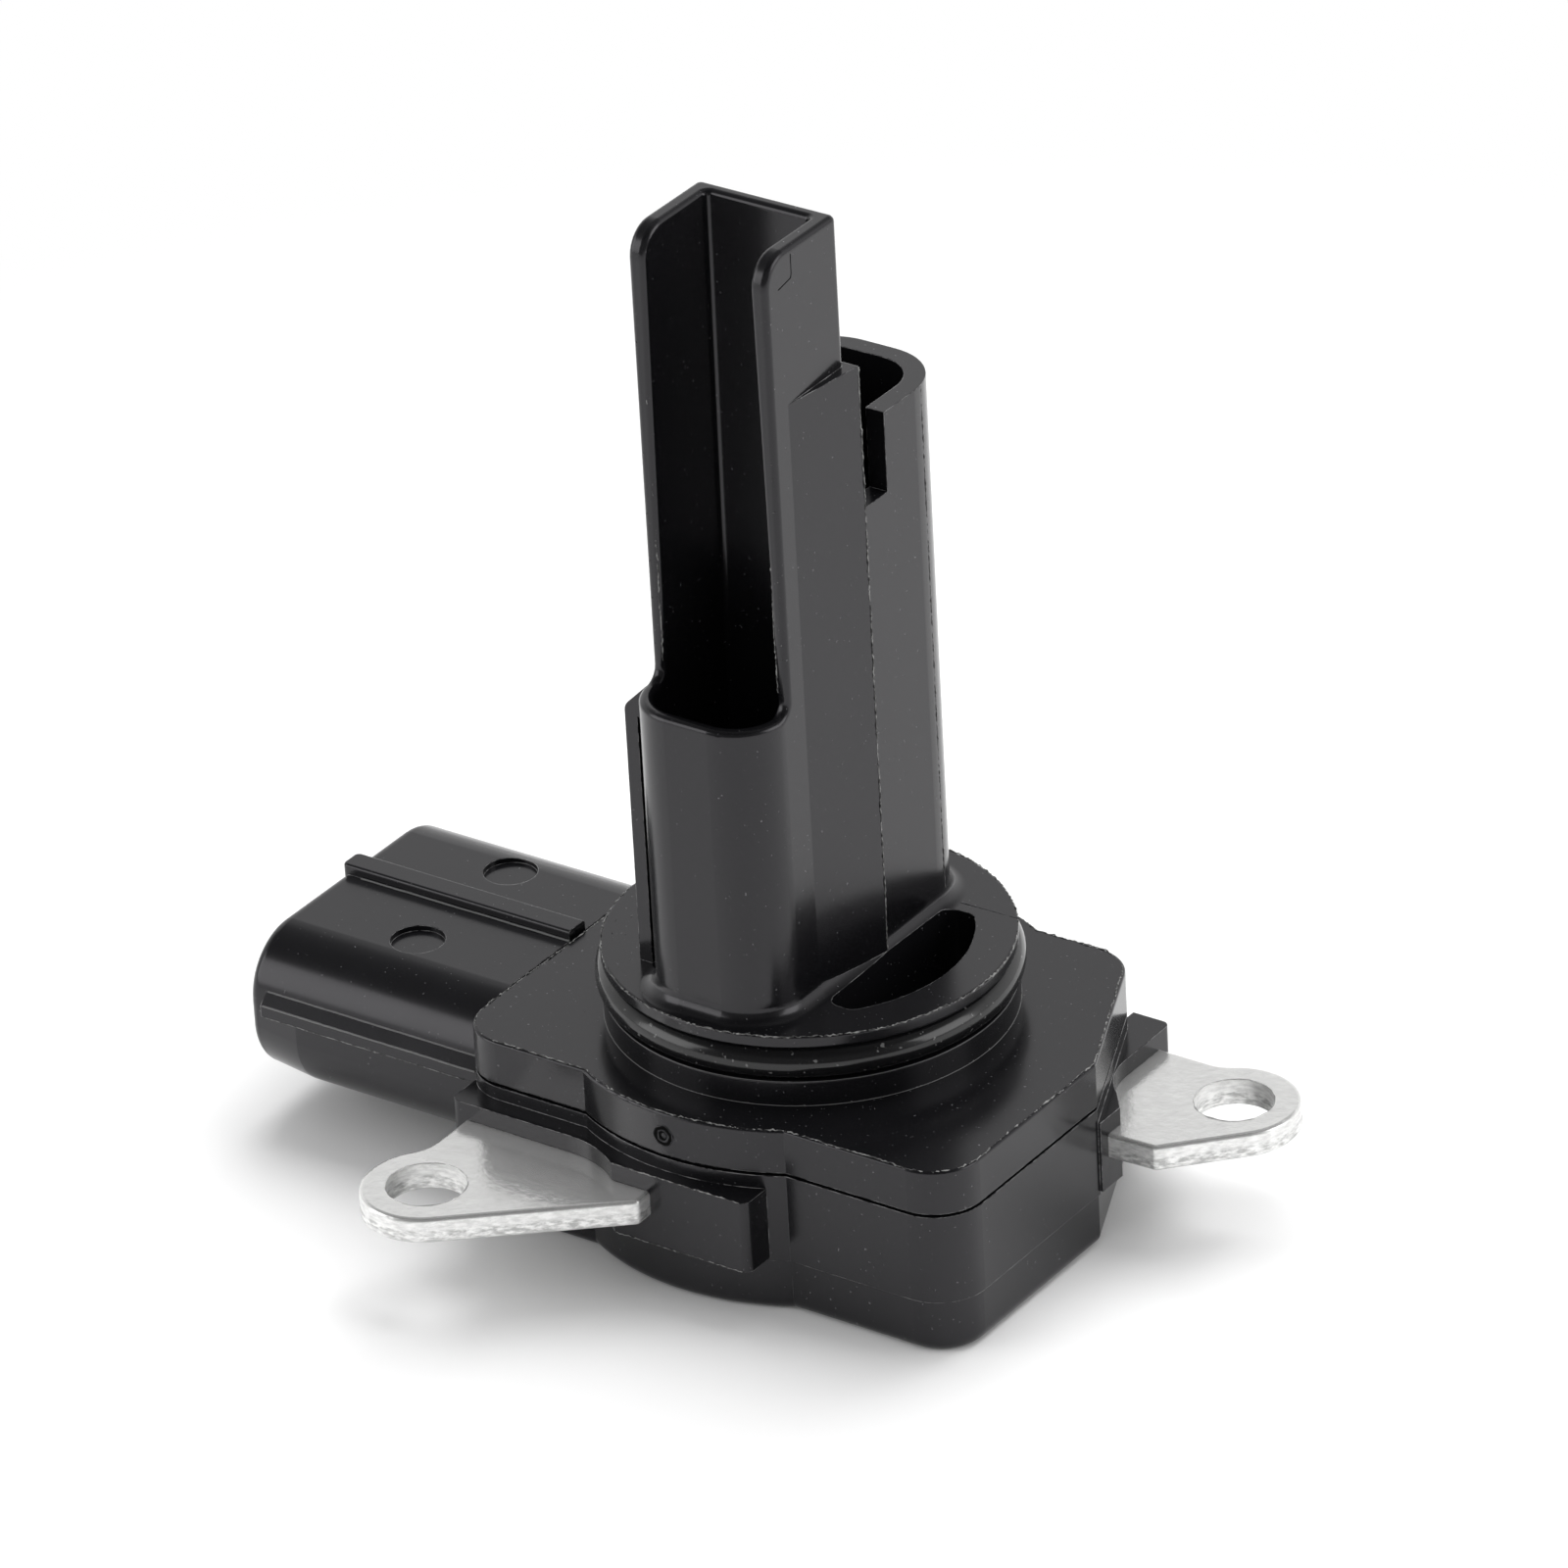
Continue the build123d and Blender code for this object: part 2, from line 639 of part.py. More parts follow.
def tip_point(centre, base, side):
    """Where a line from an ear's base touches the round tip."""
    offset_x = base[0] - centre[0]
    offset_y = base[1] - centre[1]
    reach = math.hypot(offset_x, offset_y)
    turn = math.atan2(offset_y, offset_x) + side * math.acos(EAR_TIP_R / reach)
    return (centre[0] + EAR_TIP_R * math.cos(turn), centre[1] + EAR_TIP_R * math.sin(turn))


def ear_plan(centre, base, root, far_corner, waist, side):
    """One ear: straight near edge, round tip and waisted far edge."""
    touch = tip_point(centre, base, side)
    corners = [root, base, touch, centre, waist, far_corner]
    ear = polygon(*corners[::side])
    return ear + Pos(*centre) * Circle(EAR_TIP_R)


def mounting_plate():
    """The aluminium plate with both ears, holding the circuit between them."""
    web = polygon(
        (PLATE_LEFT_X, -PLATE_FRONT_Y),
        (PLATE_LEFT_X, PLATE_STEP_Y),
        (FRONT_EAR_FAR_X, PLATE_STEP_Y),
        (FRONT_EAR_FAR_X, PLATE_FRONT_Y),
        (PLATE_RIGHT_X, PLATE_FRONT_Y),
        (PLATE_RIGHT_X, END_EAR_ROOT_Y),
        (PLATE_BACK_X, -PLATE_FRONT_Y),
    )
    front_waist = (FRONT_EAR_FAR_X, FRONT_EAR_Y)
    front = ear_plan(
        (FRONT_EAR_X, FRONT_EAR_Y), FRONT_EAR_BASE, (FRONT_EAR_ROOT_X, PLATE_FRONT_Y),
        (FRONT_EAR_FAR_X, PLATE_FRONT_Y), front_waist, -1)
    end_waist = (END_EAR_X, END_EAR_FAR_Y)
    end = ear_plan(
        (END_EAR_X, END_EAR_Y), END_EAR_BASE, (PLATE_BACK_X, END_EAR_ROOT_Y),
        (PLATE_BACK_X, END_EAR_FAR_Y), end_waist, 1)
    plate = prism(web + front + end, PLATE_BOTTOM, PLATE_TOP)
    bends = (
        ((FRONT_EAR_FAR_X, FRONT_EAR_Y + EAR_TIP_R), EAR_WAIST_R),
        ((END_EAR_X - EAR_TIP_R, END_EAR_FAR_Y), EAR_WAIST_R),
        (FRONT_EAR_BASE, EAR_BASE_R),
        (END_EAR_BASE, EAR_BASE_R),
    )
    for place, radius in bends:
        bend = plate.edges().filter_by(Axis.Z).sort_by_distance(Vector(*place, PLATE_BOTTOM))[0]
        plate = fillet(bend, radius)
    rims = plate.edges().group_by(Axis.Z)
    plate = fillet(rims[0] + rims[-1], EAR_EDGE)
    for x, y in ((FRONT_EAR_X, FRONT_EAR_Y), (END_EAR_X, END_EAR_Y)):
        plate -= Pos(x, y, PLATE_BOTTOM + PLATE_THICK / 2) * Cylinder(EAR_HOLE_R, 2 * PLATE_THICK)
    return plate


def flange_ring():
    """The rubber sealing ring in the flange groove."""
    middle = (GROOVE_BOTTOM + GROOVE_TOP) / 2
    return Pos(0, 0, middle) * Torus(RING_OUTER_R - RING_SECTION_R, RING_SECTION_R)


def joint_sealant(tongue_body):
    """The sealant bead that fills the rim groove round the tongue."""
    plan = body_outline(RIM_WALL) - body_outline(RIM_WALL + JOINT_WIDTH)
    bead = prism(plan, CASE_TOP - JOINT_DEPTH, CASE_TOP - SEALANT_BELOW_RIM)
    return bead - tongue_body


def connector_pins():
    """The blade terminals, from the socket through the wall to the circuit."""
    socket_back = CONNECTOR_END_X + SOCKET_DEPTH
    pad_end = CONNECTOR_SIDE_X + RIM_WALL + JOINT_WIDTH + JOINT_LIP + PAD_LENGTH
    low = PLATE_TOP - PAD_DROP
    pins = []
    for index in range(PIN_COUNT):
        y = CONNECTOR_Y + (index - (PIN_COUNT - 1) / 2) * PIN_PITCH
        blade = box_between(
            (socket_back - PIN_REACH, y - PIN_WIDTH / 2, low),
            (pad_end, y + PIN_WIDTH / 2, low + PIN_THICK),
        )
        tip = blade.faces().sort_by(Axis.X)[0]
        pins.append(chamfer(tip.edges(), PIN_TIP_TAPER))
    return pins


def bond_wires():
    """The wires from the terminals to the board."""
    pad_x = CONNECTOR_SIDE_X + RIM_WALL + JOINT_WIDTH + JOINT_LIP + PAD_LENGTH / 2
    board_x = BOARD_LEFT_X + WIRE_LAND
    pad_z = PLATE_TOP - PAD_DROP + PIN_THICK + WIRE_R
    board_z = PLATE_TOP + GLUE_THICK + BOARD_THICK + WIRE_R
    wires = []
    for index in range(PIN_COUNT):
        y = CONNECTOR_Y + (index - (PIN_COUNT - 1) / 2) * PIN_PITCH
        path = FilletPolyline(
            (pad_x - WIRE_LAND, y, pad_z),
            (pad_x, y, pad_z),
            ((pad_x + board_x) / 2, y, board_z + WIRE_RISE),
            (board_x, y, board_z),
            (board_x + WIRE_LAND, y, board_z),
            radius=WIRE_BEND_R,
        )
        section = Plane(origin=path @ 0, z_dir=path % 0) * Circle(WIRE_R)
        wires.append(sweep(section, path))
    return Compound(children=wires)


# Circuit

def on_board(length, width, thick, x, y):
    """A flat part lying on the board."""
    low = PLATE_TOP + GLUE_THICK + BOARD_THICK
    return Pos(x, y, low + thick / 2) * Box(length, width, thick)


def board_slab(low, thick):
    """A slab with the board's outline."""
    return box_between((BOARD_LEFT_X, -BOARD_HALF, low), (BOARD_RIGHT_X, BOARD_HALF, low + thick))


def chip_row(length, width, thick, x, rows):
    """A row of like chip parts on the board."""
    return Compound(children=[on_board(length, width, thick, x, y) for y in rows])


# Sensing elements

def sensing_pin(x, y, rise):
    """A round pin from the board up into the air path."""
    low = PLATE_TOP + GLUE_THICK + BOARD_THICK
    high = FLANGE_TOP + rise
    return Pos(x, y, (low + high) / 2) * Cylinder(SENSE_PIN_R, high - low)


def lead_between(half, y, rise):
    """The straight lead that lies on a pair of pins."""
    z = FLANGE_TOP + rise + LEAD_R + LEAD_GAP
    return Pos(0, y, z) * Rot(0, 90, 0) * Cylinder(LEAD_R, 2 * (half + SENSE_PIN_R))


def wire_element(y, rise):
    """A small wound cylinder hung on its lead."""
    z = FLANGE_TOP + rise + LEAD_R + LEAD_GAP
    core = Pos(0, y, z) * Rot(0, 90, 0) * Cylinder(ELEMENT_R, ELEMENT_LENGTH)
    return core + lead_between(SENSE_HALF, y, rise)


def thermistor():
    """The glass bead that senses the intake air."""
    z = FLANGE_TOP + THERMISTOR_RISE + LEAD_R + LEAD_GAP
    bead = Pos(0, THERMISTOR_Y, z) * Sphere(BEAD_R)
    return bead + lead_between(THERMISTOR_HALF, THERMISTOR_Y, THERMISTOR_RISE)


def build():
    """Every piece of the sensor by its node name."""
    sense_pins = {
        "heater_pin_left": sensing_pin(-SENSE_HALF, HEATER_Y, HEATER_RISE),
        "heater_pin_right": sensing_pin(SENSE_HALF, HEATER_Y, HEATER_RISE),
        "compensation_pin_left": sensing_pin(-SENSE_HALF, COLD_Y, COLD_RISE),
        "compensation_pin_right": sensing_pin(SENSE_HALF, COLD_Y, COLD_RISE),
        "thermistor_pin_left": sensing_pin(-THERMISTOR_HALF, THERMISTOR_Y, THERMISTOR_RISE),
        "thermistor_pin_right": sensing_pin(THERMISTOR_HALF, THERMISTOR_Y, THERMISTOR_RISE),
    }
    terminals = connector_pins()
    plate = mounting_plate()
    upper = probe_housing(sense_pins.values())
    nodes = {
        "probe_housing": upper,
        "circuit_case": circuit_case([plate, *terminals]),
        "mounting_plate": plate,
        "flange_o_ring": flange_ring(),
        "case_sealant": joint_sealant(upper),
        "board_adhesive": board_slab(PLATE_TOP, GLUE_THICK),
        "circuit_board": board_slab(PLATE_TOP + GLUE_THICK, BOARD_THICK),
        "control_chip": on_board(CHIP_SIZE, CHIP_SIZE, CHIP_THICK, CHIP_X, CHIP_Y),
        "heater_driver": on_board(DRIVER_LENGTH, DRIVER_WIDTH, CHIP_THICK, DRIVER_X, DRIVER_Y),
        "chip_capacitors": chip_row(CAPACITOR_LENGTH, CAPACITOR_WIDTH, CAPACITOR_THICK, CAPACITOR_X,
                                    CAPACITOR_ROWS),
        "chip_resistors": chip_row(RESISTOR_LENGTH, RESISTOR_WIDTH, RESISTOR_THICK, RESISTOR_X,
                                   RESISTOR_ROWS),
        "bond_wires": bond_wires(),
        "hot_wire_element": wire_element(HEATER_Y, HEATER_RISE),
        "compensation_element": wire_element(COLD_Y, COLD_RISE),
        "intake_air_thermistor": thermistor(),
        **sense_pins,
    }
    for index, terminal in enumerate(terminals):
        nodes[f"connector_pin_{index + 1}"] = terminal
    return nodes


def main():
    """Write one file for each piece."""
    os.makedirs("parts", exist_ok=True)
    for name, shape in build().items():
        export_step(shape, f"parts/{name}.step")


if __name__ == "__main__":
    main()
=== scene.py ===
"""Looks of a plug-in mass airflow sensor that stands on its case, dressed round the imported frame."""

import math
import random

import bpy
from mathutils import Matrix, Vector, noise


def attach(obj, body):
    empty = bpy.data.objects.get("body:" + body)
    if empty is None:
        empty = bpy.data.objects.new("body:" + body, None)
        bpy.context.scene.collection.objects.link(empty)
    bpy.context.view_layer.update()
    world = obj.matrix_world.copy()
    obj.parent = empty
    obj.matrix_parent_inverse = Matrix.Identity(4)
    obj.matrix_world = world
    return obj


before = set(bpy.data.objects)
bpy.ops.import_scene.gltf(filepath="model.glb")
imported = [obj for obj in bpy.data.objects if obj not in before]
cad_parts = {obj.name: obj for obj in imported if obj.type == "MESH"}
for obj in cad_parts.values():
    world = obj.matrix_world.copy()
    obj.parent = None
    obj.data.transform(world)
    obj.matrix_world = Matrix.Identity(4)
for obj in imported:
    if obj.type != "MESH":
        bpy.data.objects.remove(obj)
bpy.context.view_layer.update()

bl_info = {
    "name": "Airflow Sensor Looks",
    "version": (1, 0, 0),
    "blender": (4, 5, 0),
    "location": "View3D > Sidebar > Airflow Sensor",
    "description": "Finishes, moulding marks and studio for a plug-in airflow sensor",
    "category": "Object",
}

MM = 0.001
BODY = "root"

CONNECTOR_PINS = tuple(f"connector_pin_{number}" for number in range(1, 6))
SENSING_PINS = tuple(
    f"{pair}_pin_{side}" for pair in ("heater", "compensation", "thermistor") for side in ("left", "right")
)

# Materials of the modelled marks
TORN = "Torn Plastic"
FLASH = "Flash Plastic"
# This pale material paints highlight lines on beads, and the next, near-black one paints shade
PALE_HIGHLIGHT = "Worn Edge"
SHADE = "Gate Shade"

# Colours that show where a surface is specked, dusty or freshly cut, and where its edges are rubbed and carry a
# painted highlight
SPECK_COLOR = (0.10, 0.10, 0.105)
DUST_COLOR = (0.11, 0.11, 0.11)
RUBBED_AND_HIGHLIT_PLASTIC = (0.38, 0.38, 0.38)
RUBBED_AND_HIGHLIT_METAL = (0.88, 0.88, 0.88)
BRIGHT_CUT = (0.92, 0.92, 0.91)
TORN_DARK = (0.03, 0.03, 0.03)
TORN_PALE = (0.27, 0.27, 0.265)

# How soft the rim of a speck is
SPECK_RIM = 0.06

# Plain finishes: name, colour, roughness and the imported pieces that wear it
PLAIN_METALS = (
    ("Sensing Steel", (0.62, 0.60, 0.57), 0.30, SENSING_PINS),
    ("Bond Aluminium", (0.85, 0.85, 0.86), 0.28, ("bond_wires",)),
    ("Platinum Wire", (0.70, 0.68, 0.66), 0.30, ()),
)
PLAIN_SOLIDS = (
    ("Element Glass", (0.10, 0.16, 0.12), 0.18,
     ("hot_wire_element", "compensation_element", "intake_air_thermistor")),
    ("Grey Sealant", (0.06, 0.06, 0.065), 0.45, ("case_sealant",)),
    ("Board Adhesive", (0.45, 0.42, 0.36), 0.5, ("board_adhesive",)),
    ("Board Ceramic", (0.55, 0.53, 0.47), 0.45, ("circuit_board",)),
    ("Chip Epoxy", (0.012, 0.012, 0.013), 0.5, ("control_chip", "heater_driver", "chip_resistors")),
    ("Capacitor Ceramic", (0.35, 0.24, 0.15), 0.4, ("chip_capacitors",)),
    # This pale material paints highlight lines on beads
    (PALE_HIGHLIGHT, (0.12, 0.12, 0.12), 0.30, ()),
    # This near-black material paints shade in the gate's hollow and along the insert line
    (SHADE, (0.001, 0.001, 0.001), 0.7, ()),
)

# Places and sizes from here on are in millimetres, angles in degrees

# Levels and radii
PLATE_HIGH_Z = 8.2
CASE_HIGH_Z = 10.5
COVER_LOW_Z = 10.75
COVER_HIGH_Z = 13.95
COLLAR_Z = 15.8
FLANGE_Z = 19.2
CUP_Z = 41.0
TUBE_Z = 58.0
PROBE_Z = 73.8
FLANGE_R = 14.0
COVER_ROUND_R = 17.3
COVER_CORNER_R = 3.5
EAR_HOLE_R = 2.75

# Radius and level of the flange's upper rim, just inside its edge
FLANGE_RIM = (FLANGE_R - 0.05, FLANGE_Z - 0.03)

# Depths under the plate's face between which its smooth cut edge turns into a torn one
TORN_FROM = 0.85
TORN_FULL = 1.05

# Lines on the right of the probe, each mirrored to its left: both ends
TUBE_SEAM = ((5.68, 7.9, FLANGE_Z + 1.05), (5.68, 7.9, TUBE_Z - 0.1))
FLANGE_SEAM = ((6.73, 8.2, FLANGE_Z), (11.3, 8.3, FLANGE_Z))
WALL_LIP = ((4.55, -8.3, CUP_Z + 1.5), (4.55, -8.3, PROBE_Z - 3))
PAD_LIP = ((6.25, 0.15, FLANGE_Z + 0.4), (6.25, 0.15, 62.9))
BURR_LINES = (
    ((5.1, -8.4, CUP_Z + 1), (5.1, -8.4, PROBE_Z - 2.5)),
    ((5.68, 7.9, FLANGE_Z + 1), (5.68, 7.9, TUBE_Z)),
    ((6.25, 0.15, FLANGE_Z + 0.3), (6.25, 0.15, TUBE_Z)),
)

# Level lines on the connector and the front block: ends in x, then places across and up
SHOULDER_X = (-36.4, -18.6)
SHOULDER_MIDDLE_Y = -1.4
SHOULDER_SEAM = (12.0, 8.85)
SHOULDER_CREASES = ((12.0, 9.72), (11.25, 10.47))
RIDGE_X = (-36.4, -18.9)
RIDGE_ROOT = (-1.58, 13.85)
BLOCK_X = (-3.9, 6.3)
BLOCK_FRONT_Y = -18.3
BLOCK_Z = (4.2, 9.5)

# Distances between the points of a line
FINE_STEP = 0.4
LIP_STEP = 0.5
COARSE_STEP = 1.0

# Single places
GATE_PLACE = (-0.25, -17.3, 12.2)
INSERT_LINE = (
    (5.4, -5.5, 73.3),
    (5.4, -5.5, 71.9),
    (5.4, -5.6, 71.6),
    (5.4, -6.2, 71.5),
    (5.4, -7.0, 71.35),
)
EAR_HOLES = {"front": (-14.4, -24.9), "end": (26.3, 10.9)}

# Slow waves and fine tears roughen a bead: their sizes, how much deeper the tears are, how torn a bead must be to
# get points in between, and the seed of the noise
WAVE_SIZE = 2.5
TEAR_SIZE = 0.22
TEAR_DEPTH = 1.6
WELL_TORN = 0.5
NOISE_SEED = 7

# Ranges of a fleck: the root of its length's share of the size, then width and height as shares of the length
FLECK_LENGTH = (0.35, 1.0)
FLECK_WIDTH = (0.4, 0.8)
FLECK_HEIGHT = (0.3, 0.6)

# Arcs of dust on cover and flange: radius, height, both angles and the number of steps
DUST_ARCS = (
    (14.5, COVER_HIGH_Z + 0.02, 200, 340, 60),
    (15.3, COVER_HIGH_Z + 0.02, 215, 320, 60),
    (16.2, COVER_HIGH_Z + 0.02, 240, 300, 60),
    (18.0, COVER_HIGH_Z + 0.02, 300, 330, 60),
    (12.3, FLANGE_Z + 0.02, 200, 330, 40),
    (13.2, FLANGE_Z + 0.02, 200, 330, 40),
)

# Elements with a winding: centre, radius and length, and the wire on them
ELEMENTS = {"hot_wire": ((0, -4.6, 33.82), 0.55, 1.9), "compensation": ((0, -8.4, 30.32), 0.55, 1.9)}
WIRE_R = 0.045
WIRE_PITCH = 0.17
WIRE_BARE_ENDS = 0.3
WIRE_SIDES = 8
WIRE_STEPS = 20

# Round the cover: arcs joined by straight runs, each with centre, radius (0 at a sharp corner) and two angles
COVER_ARCS = (
    ((-15.3, -11.8), COVER_CORNER_R, 180, 270),
    ((0, 0), COVER_ROUND_R, 242.17, 297.83),
    ((17.7, -11.8), COVER_CORNER_R, 270, 360),
    ((21.2, 2.1), 0, 0, 0),
    ((13.11, 11.8), COVER_CORNER_R, 23.7, 90),
    ((0, 0), COVER_ROUND_R, 62.17, 117.83),
    ((-15.3, 11.8), COVER_CORNER_R, 90, 180),
)


def mm(x, y, z):
    """A point given in millimetres."""
    return Vector((x, y, z)) * MM


# Settings that a user may change

class AirflowStudioSettings(bpy.types.PropertyGroup):
    """Camera, floor and lamps."""

    azimuth: bpy.props.FloatProperty(
        name="Azimuth", description="Turn of the camera about the probe, from the front towards the right",
        default=math.radians(35.959), subtype="ANGLE", unit="ROTATION")
    elevation: bpy.props.FloatProperty(
        name="Elevation", description="Height angle of the camera",
        default=math.radians(28.937), subtype="ANGLE", unit="ROTATION")
    roll: bpy.props.FloatProperty(
        name="Roll", description="Tilt of the camera about its own line of sight",
        default=math.radians(-3.191), subtype="ANGLE", unit="ROTATION")
    distance: bpy.props.FloatProperty(
        name="Distance", description="Distance of the camera from the point that it aims at",
        default=750.33 * MM, min=0.1, unit="LENGTH")
    aim_height: bpy.props.FloatProperty(
        name="Aim Height", description="Height of the point that the camera aims at",
        default=30 * MM, unit="LENGTH")
    slide_right: bpy.props.FloatProperty(
        name="Slide Right", description="Sideways place of the camera in its own frame",
        default=-1.127 * MM, unit="LENGTH")
    slide_up: bpy.props.FloatProperty(
        name="Slide Up", description="Upward place of the camera in its own frame",
        default=0.438 * MM, unit="LENGTH")
    lens: bpy.props.FloatProperty(
        name="Lens", description="Focal length on a 36 mm frame", default=260.04, min=10)
    floor_color: bpy.props.FloatVectorProperty(
        name="Floor Colour", description="Paper under the sensor", subtype="COLOR", default=(0.93, 0.93, 0.93),
        min=0, max=1)
    ambient: bpy.props.FloatProperty(
        name="Ambient", description="Strength of the even light from all round", default=0.6, min=0)
    key_power: bpy.props.FloatProperty(
        name="Key Power", description="Power of the large lamp above and behind", default=7.0, min=0, unit="POWER")
    side_power: bpy.props.FloatProperty(
        name="Side Power", description="Power of each lamp at the side", default=1.6, min=0, unit="POWER")


class AirflowFinishSettings(bpy.types.PropertyGroup):
    """Colours of the materials."""

    plastic_color: bpy.props.FloatVectorProperty(
        name="Plastic Colour", description="Black glass-filled plastic", subtype="COLOR",
        default=(0.0056, 0.0056, 0.0064), min=0, max=1)
    rubber_color: bpy.props.FloatVectorProperty(
        name="Rubber Colour", description="Sealing ring", subtype="COLOR", default=(0.006, 0.006, 0.0065),
        min=0, max=1)
    plate_color: bpy.props.FloatVectorProperty(
        name="Plate Colour", description="Blank aluminium plate", subtype="COLOR",
        default=(0.80, 0.80, 0.79), min=0, max=1)
    terminal_color: bpy.props.FloatVectorProperty(
        name="Terminal Colour", description="Tinned brass", subtype="COLOR", default=(0.72, 0.66, 0.50),
        min=0, max=1)


class AirflowMarkSettings(bpy.types.PropertyGroup):
    """Sizes of the marks that moulding leaves."""

    burr_size: bpy.props.FloatProperty(
        name="Burr Size", description="Length of a moulding burr on an edge", default=0.20 * MM,
        min=0.01 * MM, unit="LENGTH", subtype="DISTANCE")
    flash_height: bpy.props.FloatProperty(
        name="Flash Height", description="Height of the flash along a parting line", default=0.06 * MM,
        min=0.01 * MM, unit="LENGTH", subtype="DISTANCE")
    gate_radius: bpy.props.FloatProperty(
        name="Gate Radius", description="Radius of the broken-off gate's ring", default=0.66 * MM,
        min=0.1 * MM, unit="LENGTH", subtype="DISTANCE")


# Small helpers for shader nodes

def node(tree, kind, **values):
    """Add a shader node; a value whose name is an input goes to that input."""
    made = tree.nodes.new(kind)
    for name, value in values.items():
        label = name.replace("_", " ")
        if label in made.inputs:
            made.inputs[label].default_value = value
        else:
            setattr(made, name, value)
    return made


def new_group(name, inputs, outputs):
    """An empty shader group with named sockets, and its two end nodes."""
    tree = bpy.data.node_groups.new(name, "ShaderNodeTree")
    for label, kind, value in inputs:
        socket = tree.interface.new_socket(label, in_out="INPUT", socket_type=kind)
        socket.default_value = value
    for label, kind in outputs:
        tree.interface.new_socket(label, in_out="OUTPUT", socket_type=kind)
    return tree, tree.nodes.new("NodeGroupInput"), tree.nodes.new("NodeGroupOutput")


def place_group(tree, group, **values):
    """Put a shader group into a material with its own values."""
    made = tree.nodes.new("ShaderNodeGroup")
    made.node_tree = group
    for name, value in values.items():
        made.inputs[name.replace("_", " ")].default_value = value
    return made


def grain_group():
    """Fine moulded or rolled grain: a height, a mask of sparse specks with soft rims, and a slow cloud."""
    tree, start, end = new_group(
        "Surface Grain",
        [("Grain Scale", "NodeSocketFloat", 2500.0), ("Speck Scale", "NodeSocketFloat", 4200.0),
         ("Speck Share", "NodeSocketFloat", 0.3), ("Cloud Scale", "NodeSocketFloat", 90.0)],
        [("Height", "NodeSocketFloat"), ("Specks", "NodeSocketFloat"), ("Cloud", "NodeSocketFloat")],
    )
    place = node(tree, "ShaderNodeTexCoord")
    fine = node(tree, "ShaderNodeTexNoise", Detail=3.0, Roughness=0.6)
    speck = node(tree, "ShaderNodeTexNoise", Detail=1.0, Roughness=0.5)
    cloud = node(tree, "ShaderNodeTexNoise", Detail=4.0, Roughness=0.55, Distortion=0.4)
    for texture, scale in ((fine, "Grain Scale"), (speck, "Speck Scale"), (cloud, "Cloud Scale")):
        tree.links.new(place.outputs["Object"], texture.inputs["Vector"])
        tree.links.new(start.outputs[scale], texture.inputs["Scale"])
    edge = node(tree, "ShaderNodeMath", operation="SUBTRACT")
    edge.inputs[0].default_value = 1.0
    tree.links.new(start.outputs["Speck Share"], edge.inputs[1])
    keep = node(tree, "ShaderNodeMapRange", interpolation_type="SMOOTHSTEP", To_Max=1.0)
    top = node(tree, "ShaderNodeMath", operation="ADD")
    top.inputs[1].default_value = SPECK_RIM
    tree.links.new(edge.outputs[0], top.inputs[0])
    tree.links.new(speck.outputs["Fac"], keep.inputs["Value"])
    tree.links.new(edge.outputs[0], keep.inputs["From Min"])
    tree.links.new(top.outputs[0], keep.inputs["From Max"])
    tree.links.new(fine.outputs["Fac"], end.inputs["Height"])
    tree.links.new(keep.outputs["Result"], end.inputs["Specks"])
    tree.links.new(cloud.outputs["Fac"], end.inputs["Cloud"])
    return tree


def edge_group():
    """A mask of the edges, broken up by noise, for wear and a painted highlight, and the normal that rounds them.
    """
    tree, start, end = new_group(
        "Edge Wear And Highlight",
        [("Radius", "NodeSocketFloat", 0.10 * MM), ("Break Scale", "NodeSocketFloat", 900.0),
         ("Gain", "NodeSocketFloat", 4.0)],
        [("Mask", "NodeSocketFloat"), ("Normal", "NodeSocketVector")],
    )
    bevel = node(tree, "ShaderNodeBevel", samples=8)
    surface = node(tree, "ShaderNodeNewGeometry")
    place = node(tree, "ShaderNodeTexCoord")
    patches = node(tree, "ShaderNodeTexNoise", Detail=5.0, Roughness=0.75)
    facing = node(tree, "ShaderNodeVectorMath", operation="DOT_PRODUCT")
    lean = node(tree, "ShaderNodeMath", operation="SUBTRACT", use_clamp=True)
    lean.inputs[0].default_value = 1.0
    spread = node(tree, "ShaderNodeMapRange", From_Min=0.42, From_Max=0.62)
    broken = node(tree, "ShaderNodeMath", operation="MULTIPLY")
    gained = node(tree, "ShaderNodeMath", operation="MULTIPLY", use_clamp=True)
    tree.links.new(start.outputs["Radius"], bevel.inputs["Radius"])
    tree.links.new(place.outputs["Object"], patches.inputs["Vector"])
    tree.links.new(start.outputs["Break Scale"], patches.inputs["Scale"])
    tree.links.new(bevel.outputs["Normal"], facing.inputs[0])
    tree.links.new(surface.outputs["Normal"], facing.inputs[1])
    tree.links.new(facing.outputs["Value"], lean.inputs[1])
    tree.links.new(patches.outputs["Fac"], spread.inputs["Value"])
    tree.links.new(lean.outputs[0], broken.inputs[0])
    tree.links.new(spread.outputs["Result"], broken.inputs[1])
    tree.links.new(broken.outputs[0], gained.inputs[0])
    tree.links.new(start.outputs["Gain"], gained.inputs[1])
    tree.links.new(gained.outputs[0], end.inputs["Mask"])
    tree.links.new(bevel.outputs["Normal"], end.inputs["Normal"])
    return tree


def new_material(name, view_color):
    """A material with only a Principled shader, ready for its nodes."""
    material = bpy.data.materials.new(name)
    material.use_nodes = True
    material.diffuse_color = (*view_color, 1)
    return material, material.node_tree, material.node_tree.nodes["Principled BSDF"]


